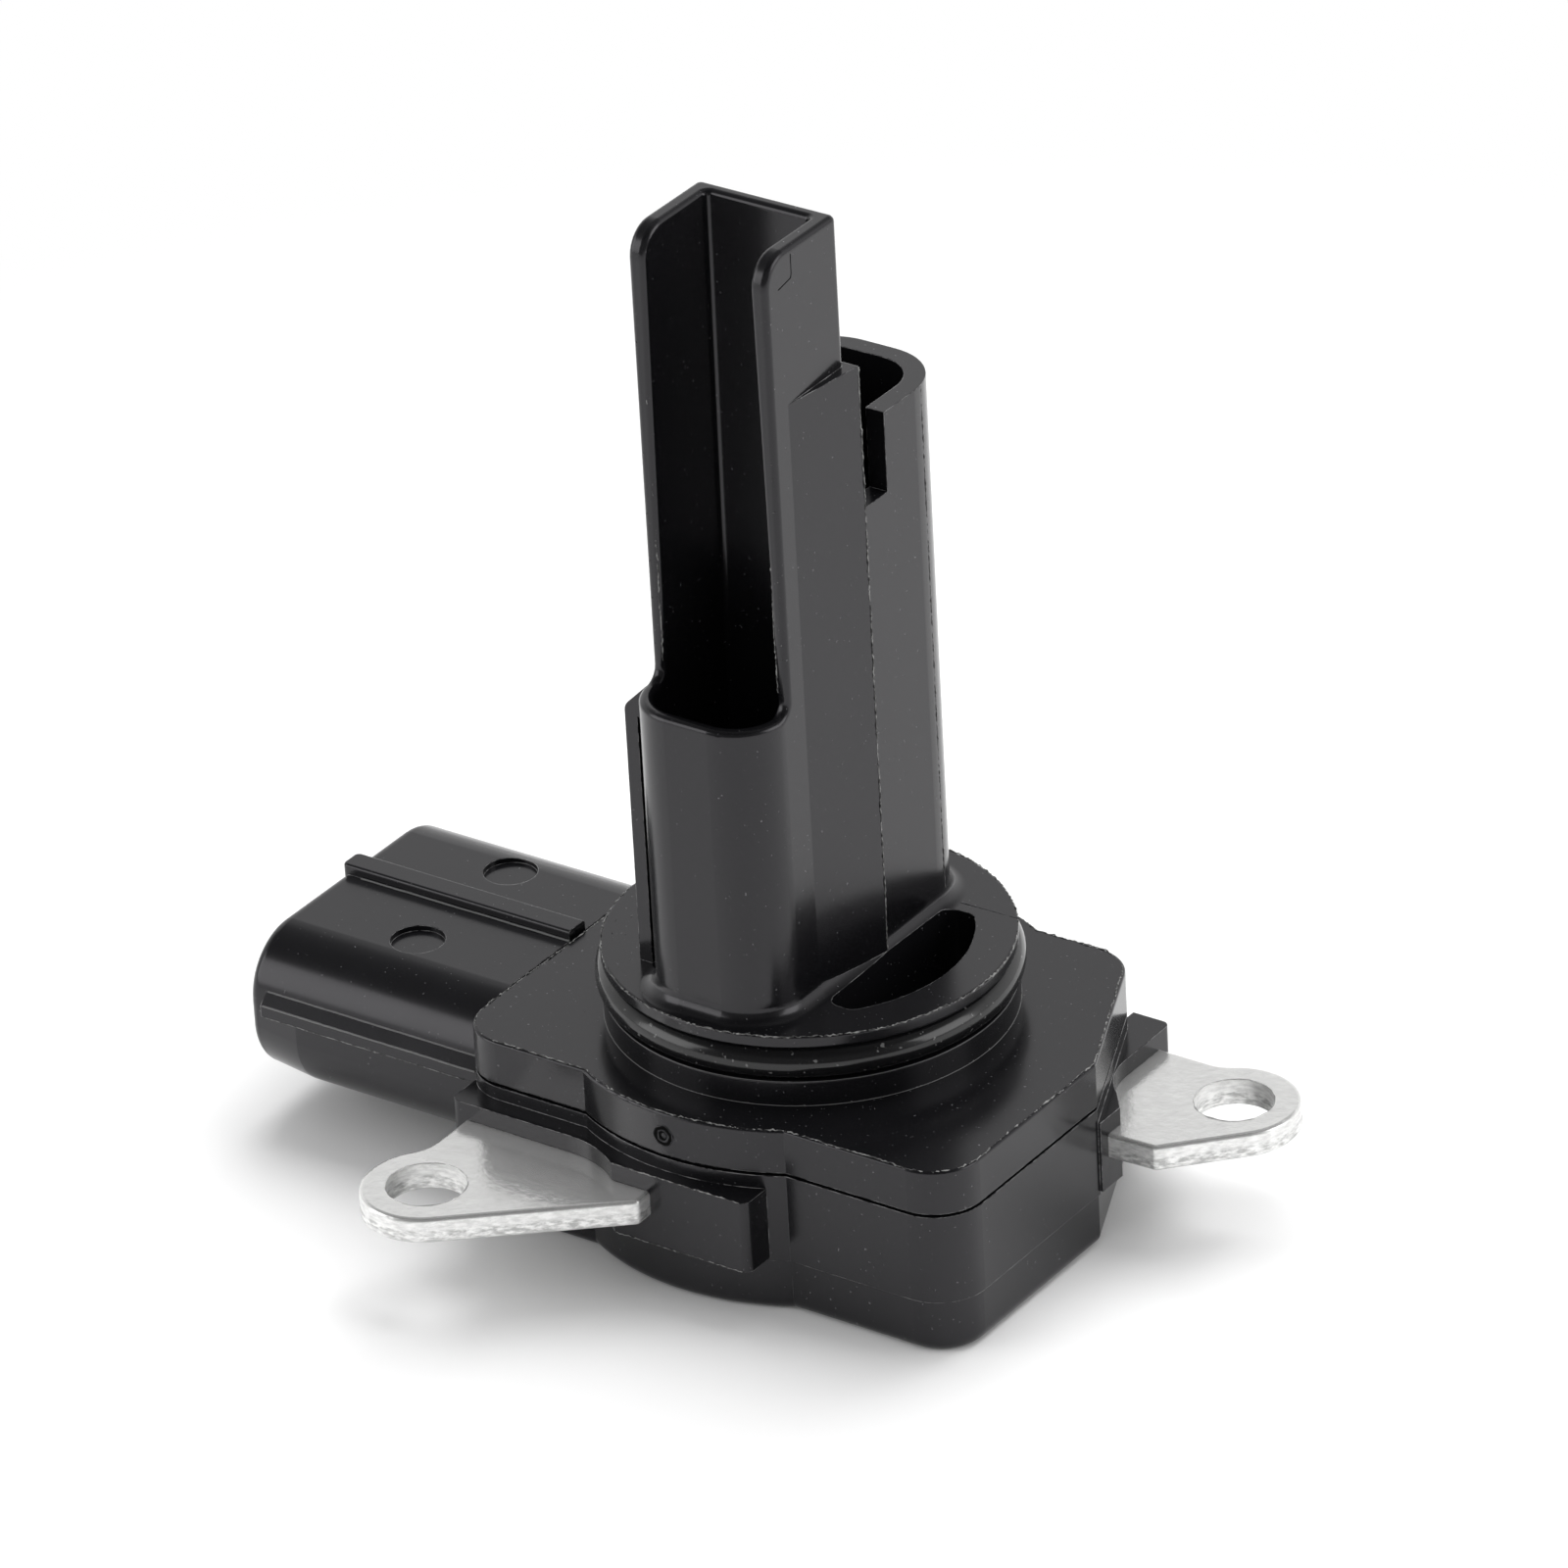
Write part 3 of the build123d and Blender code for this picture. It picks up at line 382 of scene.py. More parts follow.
def mix_colors(tree, mask, low, high):
    """Blend two colours by a mask; either may be an output or a constant."""
    blend = node(tree, "ShaderNodeMix", data_type="RGBA")
    tree.links.new(mask, blend.inputs["Factor"])
    for socket, value in ((blend.inputs[6], low), (blend.inputs[7], high)):
        if isinstance(value, bpy.types.NodeSocket):
            tree.links.new(value, socket)
        else:
            socket.default_value = (*value, 1)
    return blend.outputs[2]


def scaled(color, factor):
    """A colour made darker or lighter."""
    return tuple(factor * value for value in color)


def vary_roughness(tree, shader, mask, low, high):
    """Let the gloss follow a mask."""
    spread = node(tree, "ShaderNodeMapRange", To_Min=low, To_Max=high)
    tree.links.new(mask, spread.inputs["Value"])
    tree.links.new(spread.outputs["Result"], shader.inputs["Roughness"])


def add_bump(tree, shader, height, strength, distance, normal=None):
    """Raise the surface by a height, over a base normal."""
    bump = node(tree, "ShaderNodeBump", Strength=strength, Distance=distance)
    tree.links.new(height, bump.inputs["Height"])
    if normal is not None:
        tree.links.new(normal, bump.inputs["Normal"])
    tree.links.new(bump.outputs["Normal"], shader.inputs["Normal"])


# Materials

def black_plastic(groups, color):
    """Smooth black glass-filled plastic with a few fine specks, and pale, broken edges that are partly wear and
    partly painted highlight.
    """
    material, tree, shader = new_material("Moulded Black", color)
    shader.inputs["IOR"].default_value = 1.465
    shader.inputs["Specular Tint"].default_value = (0.98, 0.96, 1.0, 1)
    grain = place_group(tree, groups["grain"], Speck_Share=0.262, Grain_Scale=1100.0, Cloud_Scale=70.0)
    edges = place_group(tree, groups["edge"])
    clouded = mix_colors(tree, grain.outputs["Cloud"], scaled(color, 0.6), scaled(color, 1.5))
    specked = mix_colors(tree, grain.outputs["Specks"], clouded, SPECK_COLOR)
    # Edges painted pale: partly wear, partly a painted highlight
    worn_and_highlit = mix_colors(tree, edges.outputs["Mask"], specked, RUBBED_AND_HIGHLIT_PLASTIC)
    tree.links.new(worn_and_highlit, shader.inputs["Base Color"])
    vary_roughness(tree, shader, grain.outputs["Cloud"], low=0.13, high=0.27)
    add_bump(tree, shader, grain.outputs["Height"], strength=0.10, distance=0.02 * MM,
             normal=edges.outputs["Normal"])
    return material


def ring_rubber(groups, color):
    """Smooth oiled rubber with dust on it."""
    material, tree, shader = new_material("Ring Rubber", color)
    grain = place_group(tree, groups["grain"], Speck_Share=0.31, Grain_Scale=900.0, Speck_Scale=2600.0)
    dusted = mix_colors(tree, grain.outputs["Specks"], color, DUST_COLOR)
    tree.links.new(dusted, shader.inputs["Base Color"])
    vary_roughness(tree, shader, grain.outputs["Cloud"], low=0.08, high=0.22)
    add_bump(tree, shader, grain.outputs["Height"], strength=0.10, distance=0.03 * MM)
    return material


def plate_aluminium(groups, color):
    """Blanked aluminium sheet: rolled faces, an edge that is smooth above and torn below, and rims painted paler,
    partly as wear and partly as a painted highlight.
    """
    material, tree, shader = new_material("Plate Aluminium", color)
    shader.inputs["Metallic"].default_value = 0.75
    grain = place_group(tree, groups["grain"], Grain_Scale=1600.0, Cloud_Scale=700.0)
    edges = place_group(tree, groups["edge"], Radius=0.12 * MM, Gain=2.0)
    surface = node(tree, "ShaderNodeNewGeometry")
    upright = node(tree, "ShaderNodeSeparateXYZ")
    tree.links.new(surface.outputs["Normal"], upright.inputs[0])
    level = node(tree, "ShaderNodeMath", operation="ABSOLUTE")
    tree.links.new(upright.outputs["Z"], level.inputs[0])
    place = node(tree, "ShaderNodeTexCoord")
    height = node(tree, "ShaderNodeSeparateXYZ")
    tree.links.new(place.outputs["Object"], height.inputs[0])
    torn = node(tree, "ShaderNodeMapRange", From_Min=(PLATE_HIGH_Z - TORN_FULL) * MM,
                From_Max=(PLATE_HIGH_Z - TORN_FROM) * MM)
    tree.links.new(height.outputs["Z"], torn.inputs["Value"])
    drawn = node(tree, "ShaderNodeMapping")
    drawn.inputs["Scale"].default_value = (1, 1, 3)
    streaks = node(tree, "ShaderNodeTexNoise", Scale=1300.0, Detail=4.0, Roughness=0.6)
    streak = node(tree, "ShaderNodeMapRange", From_Min=0.38, From_Max=0.62)
    tree.links.new(place.outputs["Object"], drawn.inputs["Vector"])
    tree.links.new(drawn.outputs["Vector"], streaks.inputs["Vector"])
    tree.links.new(streaks.outputs["Fac"], streak.inputs["Value"])
    clouded = mix_colors(tree, grain.outputs["Cloud"], scaled(color, 0.82), color)
    ragged = mix_colors(tree, streak.outputs["Result"], scaled(color, 0.58), BRIGHT_CUT)
    rubbed = mix_colors(tree, streak.outputs["Result"], scaled(color, 0.88), BRIGHT_CUT)
    sheared = mix_colors(tree, torn.outputs["Result"], ragged, rubbed)
    faced = mix_colors(tree, level.outputs[0], sheared, clouded)
    # Edges painted paler: partly wear, partly a painted highlight
    worn_and_highlit = mix_colors(tree, edges.outputs["Mask"], faced, RUBBED_AND_HIGHLIT_METAL)
    tree.links.new(worn_and_highlit, shader.inputs["Base Color"])
    vary_roughness(tree, shader, level.outputs[0], low=0.42, high=0.19)
    add_bump(tree, shader, grain.outputs["Height"], strength=0.35, distance=0.05 * MM,
             normal=edges.outputs["Normal"])
    return material


def follow_grain(tree, shader, grain, color, roughness, dull, spread, strength):
    """Let colour, gloss and surface follow the grain."""
    clouded = mix_colors(tree, grain.outputs["Cloud"], scaled(color, dull), color)
    tree.links.new(clouded, shader.inputs["Base Color"])
    vary_roughness(tree, shader, grain.outputs["Cloud"], roughness - spread, roughness + spread)
    add_bump(tree, shader, grain.outputs["Height"], strength=strength, distance=0.03 * MM)


def plain_metal(name, groups, color, roughness):
    """Drawn or plated metal with a fine grain."""
    material, tree, shader = new_material(name, color)
    shader.inputs["Metallic"].default_value = 1.0
    grain = place_group(tree, groups["grain"], Grain_Scale=2200.0, Cloud_Scale=300.0)
    follow_grain(tree, shader, grain, color, roughness, dull=0.86, spread=0.06, strength=0.10)
    return material


def plain_solid(name, groups, color, roughness):
    """Ceramic, epoxy, glass or sealant, or a plastic that paints a highlight or shade: a plain body with a fine
    grain.
    """
    material, tree, shader = new_material(name, color)
    grain = place_group(tree, groups["grain"], Grain_Scale=2200.0)
    follow_grain(tree, shader, grain, color, roughness, dull=0.88, spread=0.05, strength=0.12)
    return material


def burr_plastic(groups):
    """Torn plastic on burrs and flash, where the fibres show pale."""
    material, tree, shader = new_material(TORN, (0.3, 0.3, 0.3))
    grain = place_group(tree, groups["grain"], Cloud_Scale=2200.0)
    spread = node(tree, "ShaderNodeMapRange", From_Min=0.42, From_Max=0.60)
    tree.links.new(grain.outputs["Cloud"], spread.inputs["Value"])
    shade = mix_colors(tree, spread.outputs["Result"], TORN_DARK, TORN_PALE)
    tree.links.new(shade, shader.inputs["Base Color"])
    shader.inputs["Roughness"].default_value = 0.55
    return material


def flash_plastic(groups, color):
    """The thin flash along a parting line, a little paler than the wall."""
    material, tree, shader = new_material(FLASH, color)
    grain = place_group(tree, groups["grain"], Cloud_Scale=1100.0)
    clouded = mix_colors(tree, grain.outputs["Cloud"], color, scaled(color, 6))
    tree.links.new(clouded, shader.inputs["Base Color"])
    shader.inputs["Roughness"].default_value = 0.5
    return material


def dress(names, material):
    """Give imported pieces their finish."""
    for name in names:
        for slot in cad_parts[name].material_slots:
            slot.material = material


# Helpers for modelled pieces

def clear_selection():
    """Leave edit mode and deselect everything."""
    if bpy.context.object and bpy.context.object.mode != "OBJECT":
        bpy.ops.object.mode_set(mode="OBJECT")
    bpy.ops.object.select_all(action="DESELECT")


def settle(piece, name):
    """Name a finished piece, put its place into its mesh, and let it ride on the sensor."""
    clear_selection()
    piece.name = name
    piece.data.name = name
    piece.select_set(True)
    bpy.context.view_layer.objects.active = piece
    bpy.ops.object.transform_apply(location=True, rotation=True, scale=True)
    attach(piece, BODY)


def coat(piece, material):
    """Give a modelled piece its finish."""
    piece.data.materials.append(bpy.data.materials[material])


# Operators

class AIRFLOW_OT_finishes(bpy.types.Operator):
    """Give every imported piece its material"""

    bl_idname = "airflow.finishes"
    bl_label = "Finish Packed Pieces"

    def execute(self, context):
        finish = context.scene.airflow_finish
        groups = {"grain": grain_group(), "edge": edge_group()}
        black = tuple(finish.plastic_color)
        dress(("probe_housing", "circuit_case"), black_plastic(groups, black))
        dress(("flange_o_ring",), ring_rubber(groups, tuple(finish.rubber_color)))
        dress(("mounting_plate",), plate_aluminium(groups, tuple(finish.plate_color)))
        dress(CONNECTOR_PINS, plain_metal("Tinned Brass", groups, tuple(finish.terminal_color), 0.32))
        for make, rows in ((plain_metal, PLAIN_METALS), (plain_solid, PLAIN_SOLIDS)):
            for name, color, roughness, wearers in rows:
                dress(wearers, make(name, groups, color, roughness))
        # Keep the painted shade from reflecting
        shade = bpy.data.materials[SHADE].node_tree.nodes["Principled BSDF"]
        shade.inputs["Specular IOR Level"].default_value = 0.08
        burr_plastic(groups)
        flash_plastic(groups, black)
        return {"FINISHED"}


class AIRFLOW_OT_stage(bpy.types.Operator):
    """Set up camera, floor, world and lamps"""

    bl_idname = "airflow.stage"
    bl_label = "Set Up Studio"

    def execute(self, context):
        studio = context.scene.airflow_studio
        self.add_camera(context, studio)
        self.add_floor(studio)
        self.light_world(context, studio)
        self.add_lamps(studio)
        context.scene.view_settings.view_transform = "Standard"
        return {"FINISHED"}

    def add_camera(self, context, studio):
        """The camera at the photograph's angle."""
        turn, rise, roll = studio.azimuth, studio.elevation, studio.roll
        back = Vector((math.sin(turn) * math.cos(rise), -math.cos(turn) * math.cos(rise), math.sin(rise)))
        right = (-back).cross(Vector((0, 0, 1))).normalized()
        up = right.cross(-back)
        place = Vector((0, 0, studio.aim_height)) + back * studio.distance
        place += right * studio.slide_right + up * studio.slide_up
        side = math.cos(roll) * right + math.sin(roll) * up
        top = -math.sin(roll) * right + math.cos(roll) * up
        clear_selection()
        bpy.ops.object.camera_add()
        camera = context.object
        camera.name = "photo_camera"
        axes = Matrix((side, top, back)).transposed()
        camera.matrix_world = Matrix.Translation(place) @ axes.to_4x4()
        camera.data.sensor_width = 36
        camera.data.lens = studio.lens
        camera.data.clip_start = 0.01
        camera.data.clip_end = 20
        context.scene.camera = camera

    def add_floor(self, studio):
        """A round sheet of pale paper that fades into the white backdrop."""
        clear_selection()
        bpy.ops.mesh.primitive_circle_add(vertices=96, radius=2.5, fill_type="NGON")
        floor = bpy.context.object
        floor.name = "studio_floor"
        material = bpy.data.materials.new("Studio Paper")
        material.use_nodes = True
        tree = material.node_tree
        tree.nodes.clear()
        paper = node(tree, "ShaderNodeBsdfDiffuse")
        paper.inputs["Color"].default_value = (*studio.floor_color, 1)
        white = node(tree, "ShaderNodeEmission", Strength=1.0)
        place = node(tree, "ShaderNodeTexCoord")
        reach = node(tree, "ShaderNodeVectorMath", operation="LENGTH")
        fade = node(tree, "ShaderNodeMapRange", interpolation_type="SMOOTHSTEP", From_Min=0.07, From_Max=0.16)
        rays = node(tree, "ShaderNodeLightPath")
        shown = node(tree, "ShaderNodeMath", operation="MULTIPLY")
        mixed = node(tree, "ShaderNodeMixShader")
        output = node(tree, "ShaderNodeOutputMaterial")
        tree.links.new(place.outputs["Object"], reach.inputs[0])
        tree.links.new(reach.outputs["Value"], fade.inputs["Value"])
        tree.links.new(fade.outputs["Result"], shown.inputs[0])
        tree.links.new(rays.outputs["Is Camera Ray"], shown.inputs[1])
        tree.links.new(shown.outputs[0], mixed.inputs[0])
        tree.links.new(paper.outputs[0], mixed.inputs[1])
        tree.links.new(white.outputs[0], mixed.inputs[2])
        tree.links.new(mixed.outputs[0], output.inputs["Surface"])
        floor.data.materials.append(material)

    def light_world(self, context, studio):
        """White for what the camera sees, a white wall for reflections, and softer light from all round."""
        world = context.scene.world or bpy.data.worlds.new("Studio World")
        context.scene.world = world
        world.use_nodes = True
        tree = world.node_tree
        tree.nodes.clear()
        rays = node(tree, "ShaderNodeLightPath")
        place = node(tree, "ShaderNodeTexCoord")
        split = node(tree, "ShaderNodeSeparateXYZ")
        behind = node(tree, "ShaderNodeMapRange", From_Min=-0.35, From_Max=0.35, To_Min=0.16, To_Max=1.0,
                      interpolation_type="SMOOTHSTEP")
        beside = node(tree, "ShaderNodeMapRange", From_Min=-0.25, From_Max=-0.60, To_Min=0.0, To_Max=0.8,
                      interpolation_type="SMOOTHSTEP")
        overhead = node(tree, "ShaderNodeMapRange", From_Min=0.40, From_Max=0.80, To_Min=1.0, To_Max=0.2,
                        interpolation_type="SMOOTHSTEP")
        round_wall = node(tree, "ShaderNodeMath", operation="MAXIMUM")
        wall = node(tree, "ShaderNodeMath", operation="MULTIPLY")
        seen = node(tree, "ShaderNodeMath", operation="MAXIMUM")
        light = node(tree, "ShaderNodeBackground", Strength=studio.ambient)
        mirrored = node(tree, "ShaderNodeBackground")
        white = node(tree, "ShaderNodeBackground", Strength=1.0)
        for background in (light, mirrored, white):
            background.inputs["Color"].default_value = (1, 1, 1, 1)
        glossy = node(tree, "ShaderNodeMixShader")
        shown = node(tree, "ShaderNodeMixShader")
        output = node(tree, "ShaderNodeOutputWorld")
        tree.links.new(place.outputs["Generated"], split.inputs[0])
        tree.links.new(split.outputs["Y"], behind.inputs["Value"])
        tree.links.new(split.outputs["Z"], overhead.inputs["Value"])
        tree.links.new(split.outputs["X"], beside.inputs["Value"])
        tree.links.new(behind.outputs["Result"], round_wall.inputs[0])
        tree.links.new(beside.outputs["Result"], round_wall.inputs[1])
        tree.links.new(round_wall.outputs[0], wall.inputs[0])
        tree.links.new(overhead.outputs["Result"], wall.inputs[1])
        tree.links.new(wall.outputs[0], mirrored.inputs["Strength"])
        tree.links.new(rays.outputs["Is Glossy Ray"], glossy.inputs[0])
        tree.links.new(light.outputs[0], glossy.inputs[1])
        tree.links.new(mirrored.outputs[0], glossy.inputs[2])
        tree.links.new(rays.outputs["Is Camera Ray"], seen.inputs[0])
        tree.links.new(rays.outputs["Is Transmission Ray"], seen.inputs[1])
        tree.links.new(seen.outputs[0], shown.inputs[0])
        tree.links.new(glossy.outputs[0], shown.inputs[1])
        tree.links.new(white.outputs[0], shown.inputs[2])
        tree.links.new(shown.outputs[0], output.inputs["Surface"])

    def add_lamps(self, studio):
        """A large soft lamp above and behind, and one at each side."""
        aim = Vector((0, 0, studio.aim_height))
        # Name, place, size, power, and whether it shows in reflections
        lamps = (
            ("key_lamp", Vector((-0.05, 0.42, 0.78)), 0.8, studio.key_power, False),
            ("left_lamp", Vector((-0.55, -0.52, 0.30)), 0.5, studio.side_power, True),
            ("right_lamp", Vector((0.75, 0.25, 0.35)), 0.5, studio.side_power, True),
        )
        for name, place, size, power, reflected in lamps:
            clear_selection()
            bpy.ops.object.light_add(type="AREA", location=place)
            lamp = bpy.context.object
            lamp.name = name
            lamp.rotation_euler = (aim - place).to_track_quat("-Z", "Y").to_euler()
            lamp.data.shape = "SQUARE"
            lamp.data.size = size
            lamp.data.energy = power
            lamp.visible_glossy = reflected


def roughen(piece, depth, scale):
    """Shift the points of a mesh a little by smooth noise, the same each time."""
    noise.seed_set(NOISE_SEED)
    world = piece.matrix_world
    for vertex in piece.data.vertices:
        vertex.co += noise.noise_vector((world @ vertex.co) * scale) * depth


def join_pieces(pieces):
    """Join objects into the first of them."""
    clear_selection()
    for piece in pieces:
        piece.select_set(True)
    bpy.context.view_layer.objects.active = pieces[0]
    if len(pieces) > 1:
        bpy.ops.object.join()
    return pieces[0]


def bead(name, lines, radius, material, torn):
    """Thin beads drawn along lines, as flash stands on a parting line or a root fills a corner."""
    pieces = []
    for points in lines:
        clear_selection()
        bpy.ops.mesh.primitive_plane_add(size=radius, location=points[0])
        bpy.ops.object.mode_set(mode="EDIT")
        bpy.ops.mesh.merge(type="CENTER")
        for near, far in zip(points, points[1:]):
            bpy.ops.mesh.extrude_region_move(TRANSFORM_OT_translate={"value": far - near})
        bpy.ops.mesh.select_all(action="SELECT")
        bpy.ops.mesh.remove_doubles(threshold=radius / 10)
        if torn > WELL_TORN:
            bpy.ops.mesh.subdivide(number_cuts=3)
        bpy.ops.object.mode_set(mode="OBJECT")
        bpy.ops.object.convert(target="CURVE")
        curve = bpy.context.object.data
        curve.bevel_depth = radius
        curve.bevel_resolution = 1
        curve.use_fill_caps = True
        bpy.ops.object.convert(target="MESH")
        piece = bpy.context.object
        roughen(piece, torn * radius, 1 / (WAVE_SIZE * MM))
        roughen(piece, TEAR_DEPTH * torn * radius, 1 / (TEAR_SIZE * MM))
        pieces.append(piece)
    whole = join_pieces(pieces)
    whole.data.materials.clear()
    coat(whole, material)
    bpy.ops.object.mode_set(mode="EDIT")
    bpy.ops.mesh.select_all(action="SELECT")
    bpy.ops.mesh.normals_make_consistent(inside=False)
    bpy.ops.object.mode_set(mode="OBJECT")
    bpy.ops.object.shade_smooth()
    settle(whole, name)


def ring_of(place, major, minor, steps, rotation=(0, 0, 0)):
    """A ring of round section, with its steps round the ring and round the section."""
    bpy.ops.mesh.primitive_torus_add(
        major_radius=major, minor_radius=minor, major_segments=steps[0], minor_segments=steps[1],
        location=place, rotation=rotation)
    return bpy.context.object


def points_between(start, end, step):
    """Evenly spaced points from one place to another."""
    count = max(1, int((end - start).length / step))
    return [start.lerp(end, index / count) for index in range(count + 1)]


def level_line(ends, y, z, step):
    """Points along a level line from left to right."""
    return points_between(mm(ends[0], y, z), mm(ends[1], y, z), step * MM)


def mirrored(lines, step):
    """Points along lines beside the probe, first those on its left and then those on its right."""
    return [points_between(mm(side * near[0], *near[1:]), mm(side * far[0], *far[1:]), step * MM)
            for side in (-1, 1) for near, far in lines]


def shoulder_lines(places, step):
    """Points along the connector's shoulders, first the front one and then the back one."""
    return [level_line(SHOULDER_X, SHOULDER_MIDDLE_Y + side * out, height, step)
            for side in (-1, 1) for out, height in places]


def block_lines(step):
    """Points along both edges of the front block."""
    return [level_line(BLOCK_X, BLOCK_FRONT_Y, height, step) for height in BLOCK_Z]


def arc_points(radius, height, start, end, count, centre=(0, 0)):
    """Points round an upright axis between two angles in degrees."""
    points = []
    for index in range(count + 1):
        angle = math.radians(start + (end - start) * index / count)
        points.append(mm(centre[0] + radius * math.cos(angle), centre[1] + radius * math.sin(angle), height))
    return points


def full_circle(radius, height, count):
    """Points once round the probe."""
    return arc_points(radius, height, 0, 360, count)


def cover_line(height, inset):
    """Points once round the cover's outline, set in a little."""
    corners = []
    for centre, radius, start, end in COVER_ARCS:
        if radius:
            count = max(4, int(radius * math.radians(end - start) / LIP_STEP))
            corners += arc_points(radius - inset, height, start, end, count, centre)
        else:
            corners.append(mm(centre[0] - inset, centre[1], height))
    corners.append(corners[0])
    points = [corners[0]]
    for near, far in zip(corners, corners[1:]):
        points += points_between(near, far, LIP_STEP * MM)[1:] if (far - near).length > MM else [far]
    return points


def fleck_cloud(name, lines, count, size, seed):
    """Tiny torn flecks scattered along lines, modelled once and copied."""
    chooser = random.Random(seed)
    clear_selection()
    bpy.ops.mesh.primitive_ico_sphere_add(subdivisions=1, radius=0.5)
    first = bpy.context.object
    coat(first, TORN)
    roughen(first, depth=0.18, scale=3.0)
    lengths = [sum((far - near).length for near, far in zip(line, line[1:])) for line in lines]
    chips = []
    for _ in range(count):
        line = chooser.choices(lines, weights=lengths)[0]
        step = chooser.randrange(len(line) - 1)
        chip = first.copy()
        chip.data = first.data.copy()
        bpy.context.collection.objects.link(chip)
        chip.location = line[step].lerp(line[step + 1], chooser.random())
        long = size * chooser.uniform(*FLECK_LENGTH) ** 2
        chip.scale = (long, long * chooser.uniform(*FLECK_WIDTH), long * chooser.uniform(*FLECK_HEIGHT))
        chip.rotation_euler = [chooser.uniform(0, math.tau) for _ in range(3)]
        chips.append(chip)
    bpy.data.objects.remove(first)
    settle(join_pieces(chips), name)


class AIRFLOW_OT_gate_mark(bpy.types.Operator):
    """Model the broken-off gate on the round of the cover, with painted shade in its hollow"""

    bl_idname = "airflow.gate_mark"
    bl_label = "Gate Mark"

    def execute(self, context):
        radius = context.scene.airflow_marks.gate_radius
        front = mm(*GATE_PLACE)
        upright = (math.pi / 2, 0, 0)
        clear_selection()
        # A near-black disc under the ring paints the shade of the gate's hollow
        bpy.ops.mesh.primitive_cylinder_add(
            vertices=40, radius=1.1 * radius, depth=0.06 * MM, location=front, rotation=upright)
        floor = context.object
        coat(floor, SHADE)
        ring = ring_of(front + mm(0, -0.02, 0.02), major=0.62 * radius, minor=radius / 9, steps=(48, 10),
                       rotation=upright)
        rim = ring_of(front + mm(0, -0.01, 0), major=1.14 * radius, minor=radius / 16, steps=(48, 8),
                      rotation=upright)
        bpy.ops.mesh.primitive_uv_sphere_add(
            segments=24, ring_count=12, radius=radius / 3, location=front + mm(0.08, -0.03, 0.05),
            rotation=upright)
        nub = context.object
        nub.scale = (1, 1, 0.4)
        for piece in (ring, rim, nub):
            coat(piece, FLASH)
            roughen(piece, depth=radius / 9, scale=2 / radius)
        mark = join_pieces([ring, rim, nub, floor])
        bpy.ops.object.shade_smooth_by_angle(angle=math.radians(40))
        settle(mark, "gate_mark")
        return {"FINISHED"}


class AIRFLOW_OT_parting_flash(bpy.types.Operator):
    """Model the thin flash along the parting lines of both mouldings, the tube's painted pale as a highlight, and
    pale beads that paint highlights along the connector's creases and the ridge's root
    """

    bl_idname = "airflow.parting_flash"
    bl_label = "Parting Flash"

    def execute(self, context):
        height = context.scene.airflow_marks.flash_height
        # Name, lines, share of the flash's height, material, and how torn it is
        seams = (
            # The tube's flash is painted pale as a highlight
            ("tube_flash", mirrored([TUBE_SEAM], FINE_STEP), 0.8, PALE_HIGHLIGHT, 0.8),
            ("flange_flash", mirrored([FLANGE_SEAM], FINE_STEP), 0.4, FLASH, 0.6),
            ("connector_flash", shoulder_lines([SHOULDER_SEAM], FINE_STEP), 0.5, TORN, 0.6),
            # The creases and the ridge's root are pale beads that paint highlights
            ("connector_creases", shoulder_lines(SHOULDER_CREASES, FINE_STEP), 1.2, PALE_HIGHLIGHT, 0.2),
            ("ridge_root", [level_line(RIDGE_X, *RIDGE_ROOT, COARSE_STEP)], 1.5, PALE_HIGHLIGHT, 0.2),
        )
        for name, lines, share, material, torn in seams:
            bead(name, lines, share * height, material, torn)
        return {"FINISHED"}


class AIRFLOW_OT_edge_lines(bpy.types.Operator):
    """Model the fine torn lips that stand on the moulded edges, pale beads that paint highlights on the collar,
    and a near-black bead that paints shade along the insert
    """

    bl_idname = "airflow.edge_lines"
    bl_label = "Edge Lines"

    def execute(self, context):
        radius = 0.5 * context.scene.airflow_marks.flash_height
        seam = [cover_line(COVER_LOW_Z + 0.03, inset=0.05), cover_line(CASE_HIGH_Z - 0.03, inset=0.05)]
        # Name, lines, share of the radius, material, and how torn it is
        lips = (
            ("flange_lip", [full_circle(*FLANGE_RIM, 200)], 1.5, TORN, 1.6),
            # The collar's edge and root are pale beads that paint highlights
            ("collar_line", [full_circle(FLANGE_R - 0.03, COLLAR_Z - 0.04, 160)], 0.9, PALE_HIGHLIGHT, 0.3),
            ("collar_root", [full_circle(FLANGE_R, COVER_HIGH_Z, 160)], 1.2, PALE_HIGHLIGHT, 0.3),
            ("cover_lip", [cover_line(COVER_HIGH_Z - 0.01, inset=0.17)], 1.4, TORN, 1.6),
            ("seam_lips", seam, 1.0, FLASH, 0.7),
            ("wall_lips", mirrored([WALL_LIP, PAD_LIP], LIP_STEP), 1.5, TORN, 1.0),
            ("block_lips", block_lines(FINE_STEP), 1.2, TORN, 1.2),
            # A near-black bead paints shade along the insert line
            ("insert_line", [[mm(*point) for point in INSERT_LINE]], 1.0, SHADE, 0.4),
        )
        for name, lines, share, material, torn in lips:
            bead(name, lines, share * radius, material, torn)
        return {"FINISHED"}


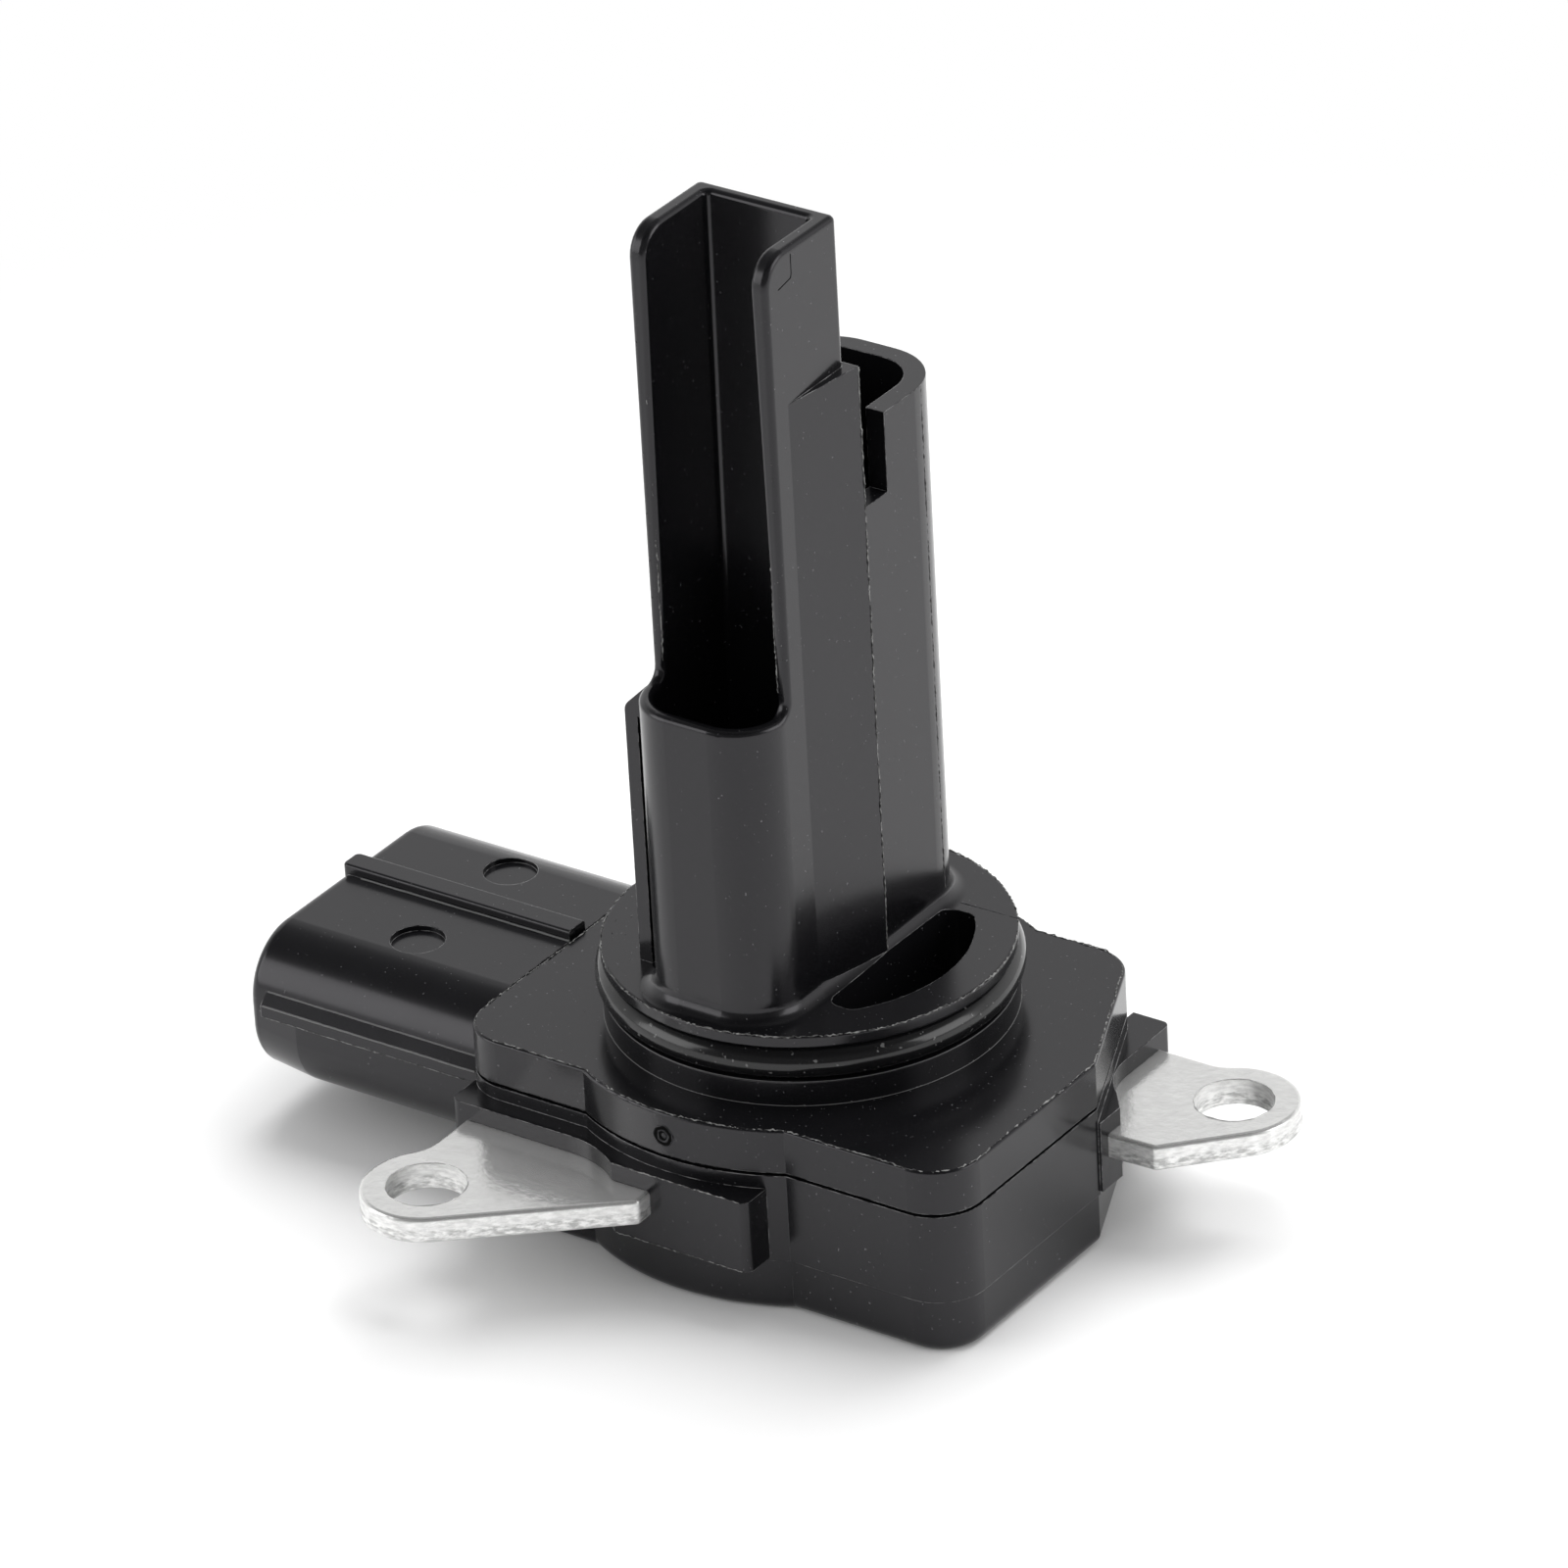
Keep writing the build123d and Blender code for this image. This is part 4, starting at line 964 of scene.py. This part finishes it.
class AIRFLOW_OT_edge_burrs(bpy.types.Operator):
    """Scatter the tiny torn burrs that stand on the moulded edges"""

    bl_idname = "airflow.edge_burrs"
    bl_label = "Edge Burrs"

    def execute(self, context):
        size = context.scene.airflow_marks.burr_size
        rims = [full_circle(*FLANGE_RIM, 90),
                arc_points(*FLANGE_RIM, 200, 320, 30),
                full_circle(FLANGE_R, COVER_HIGH_Z + 0.05, 90)]
        cover = [cover_line(COVER_HIGH_Z - 0.02, inset=0.15), cover_line(COVER_LOW_Z, inset=0.15)]
        dust = [arc_points(*arc) for arc in DUST_ARCS]
        lower = shoulder_lines([SHOULDER_SEAM], COARSE_STEP) + block_lines(COARSE_STEP)
        # Name, lines, number of flecks, share of the burr size, and seed
        clouds = (
            ("flange_burrs", rims, 170, 1.0, 11),
            ("cover_burrs", cover, 220, 1.0, 12),
            ("cover_dust", dust, 80, 0.5, 15),
            ("probe_burrs", mirrored(BURR_LINES, COARSE_STEP), 110, 1.0, 13),
            ("lower_burrs", lower, 90, 1.0, 14),
        )
        for name, lines, count, share, seed in clouds:
            fleck_cloud(name, lines, count, share * size, seed)
        return {"FINISHED"}


class AIRFLOW_OT_plate_burrs(bpy.types.Operator):
    """Model the ragged lip that punching leaves round the ear holes"""

    bl_idname = "airflow.plate_burrs"
    bl_label = "Plate Burrs"

    def execute(self, context):
        for label, (x, y) in EAR_HOLES.items():
            clear_selection()
            lip = ring_of(mm(x, y, PLATE_HIGH_Z - 0.02), major=EAR_HOLE_R * MM, minor=0.05 * MM, steps=(120, 8))
            coat(lip, "Plate Aluminium")
            roughen(lip, depth=0.06 * MM, scale=1 / (0.6 * MM))
            bpy.ops.object.shade_smooth()
            settle(lip, f"{label}_hole_lip")
        return {"FINISHED"}


class AIRFLOW_OT_windings(bpy.types.Operator):
    """Wind the fine wire on the heated and the compensation element"""

    bl_idname = "airflow.windings"
    bl_label = "Element Windings"

    def execute(self, context):
        for label, (centre, radius, length) in ELEMENTS.items():
            turns = int((length - WIRE_BARE_ENDS) / WIRE_PITCH)
            clear_selection()
            start = mm(centre[0] - turns * WIRE_PITCH / 2, centre[1], centre[2])
            bpy.ops.mesh.primitive_circle_add(
                vertices=WIRE_SIDES, radius=WIRE_R * MM, location=start + mm(0, radius, 0),
                rotation=(math.pi / 2, 0, math.pi / 2))
            coil = context.object
            context.scene.cursor.location = start
            bpy.ops.object.origin_set(type="ORIGIN_CURSOR")
            bpy.ops.object.transform_apply(location=False, rotation=True, scale=True)
            screw = coil.modifiers.new("winding", "SCREW")
            screw.axis = "X"
            screw.angle = math.tau
            screw.iterations = turns
            screw.screw_offset = WIRE_PITCH * MM
            screw.steps = WIRE_STEPS
            screw.render_steps = WIRE_STEPS
            screw.use_smooth_shade = True
            bpy.ops.object.modifier_apply(modifier=screw.name)
            coat(coil, "Platinum Wire")
            settle(coil, f"{label}_winding")
        return {"FINISHED"}


class AIRFLOW_PT_panel(bpy.types.Panel):
    """Lists the steps that dress the sensor"""

    bl_idname = "AIRFLOW_PT_panel"
    bl_label = "Airflow Sensor"
    bl_space_type = "VIEW_3D"
    bl_region_type = "UI"
    bl_category = "Airflow Sensor"

    def draw(self, context):
        for operator in OPERATORS:
            self.layout.operator(operator.bl_idname)
        for group in ("airflow_studio", "airflow_finish", "airflow_marks"):
            settings = getattr(context.scene, group)
            box = self.layout.box()
            for name in settings.bl_rna.properties.keys():
                if name not in ("rna_type", "name"):
                    box.prop(settings, name)


GROUPS = {
    "airflow_studio": AirflowStudioSettings,
    "airflow_finish": AirflowFinishSettings,
    "airflow_marks": AirflowMarkSettings,
}
OPERATORS = (AIRFLOW_OT_stage, AIRFLOW_OT_finishes, AIRFLOW_OT_gate_mark, AIRFLOW_OT_parting_flash,
             AIRFLOW_OT_edge_lines, AIRFLOW_OT_edge_burrs, AIRFLOW_OT_plate_burrs, AIRFLOW_OT_windings)


def register():
    """Register every class and attach the settings to the scene."""
    for name, group in GROUPS.items():
        bpy.utils.register_class(group)
        setattr(bpy.types.Scene, name, bpy.props.PointerProperty(type=group))
    for operator in OPERATORS:
        bpy.utils.register_class(operator)
    bpy.utils.register_class(AIRFLOW_PT_panel)


def unregister():
    """Undo the registration."""
    bpy.utils.unregister_class(AIRFLOW_PT_panel)
    for operator in reversed(OPERATORS):
        bpy.utils.unregister_class(operator)
    for name, group in GROUPS.items():
        delattr(bpy.types.Scene, name)
        bpy.utils.unregister_class(group)


def main():
    """Run every step in order."""
    register()
    bpy.ops.airflow.stage()
    bpy.ops.airflow.finishes()
    bpy.ops.airflow.gate_mark()
    bpy.ops.airflow.parting_flash()
    bpy.ops.airflow.edge_lines()
    bpy.ops.airflow.edge_burrs()
    bpy.ops.airflow.plate_burrs()
    bpy.ops.airflow.windings()


if __name__ == "__main__":
    main()
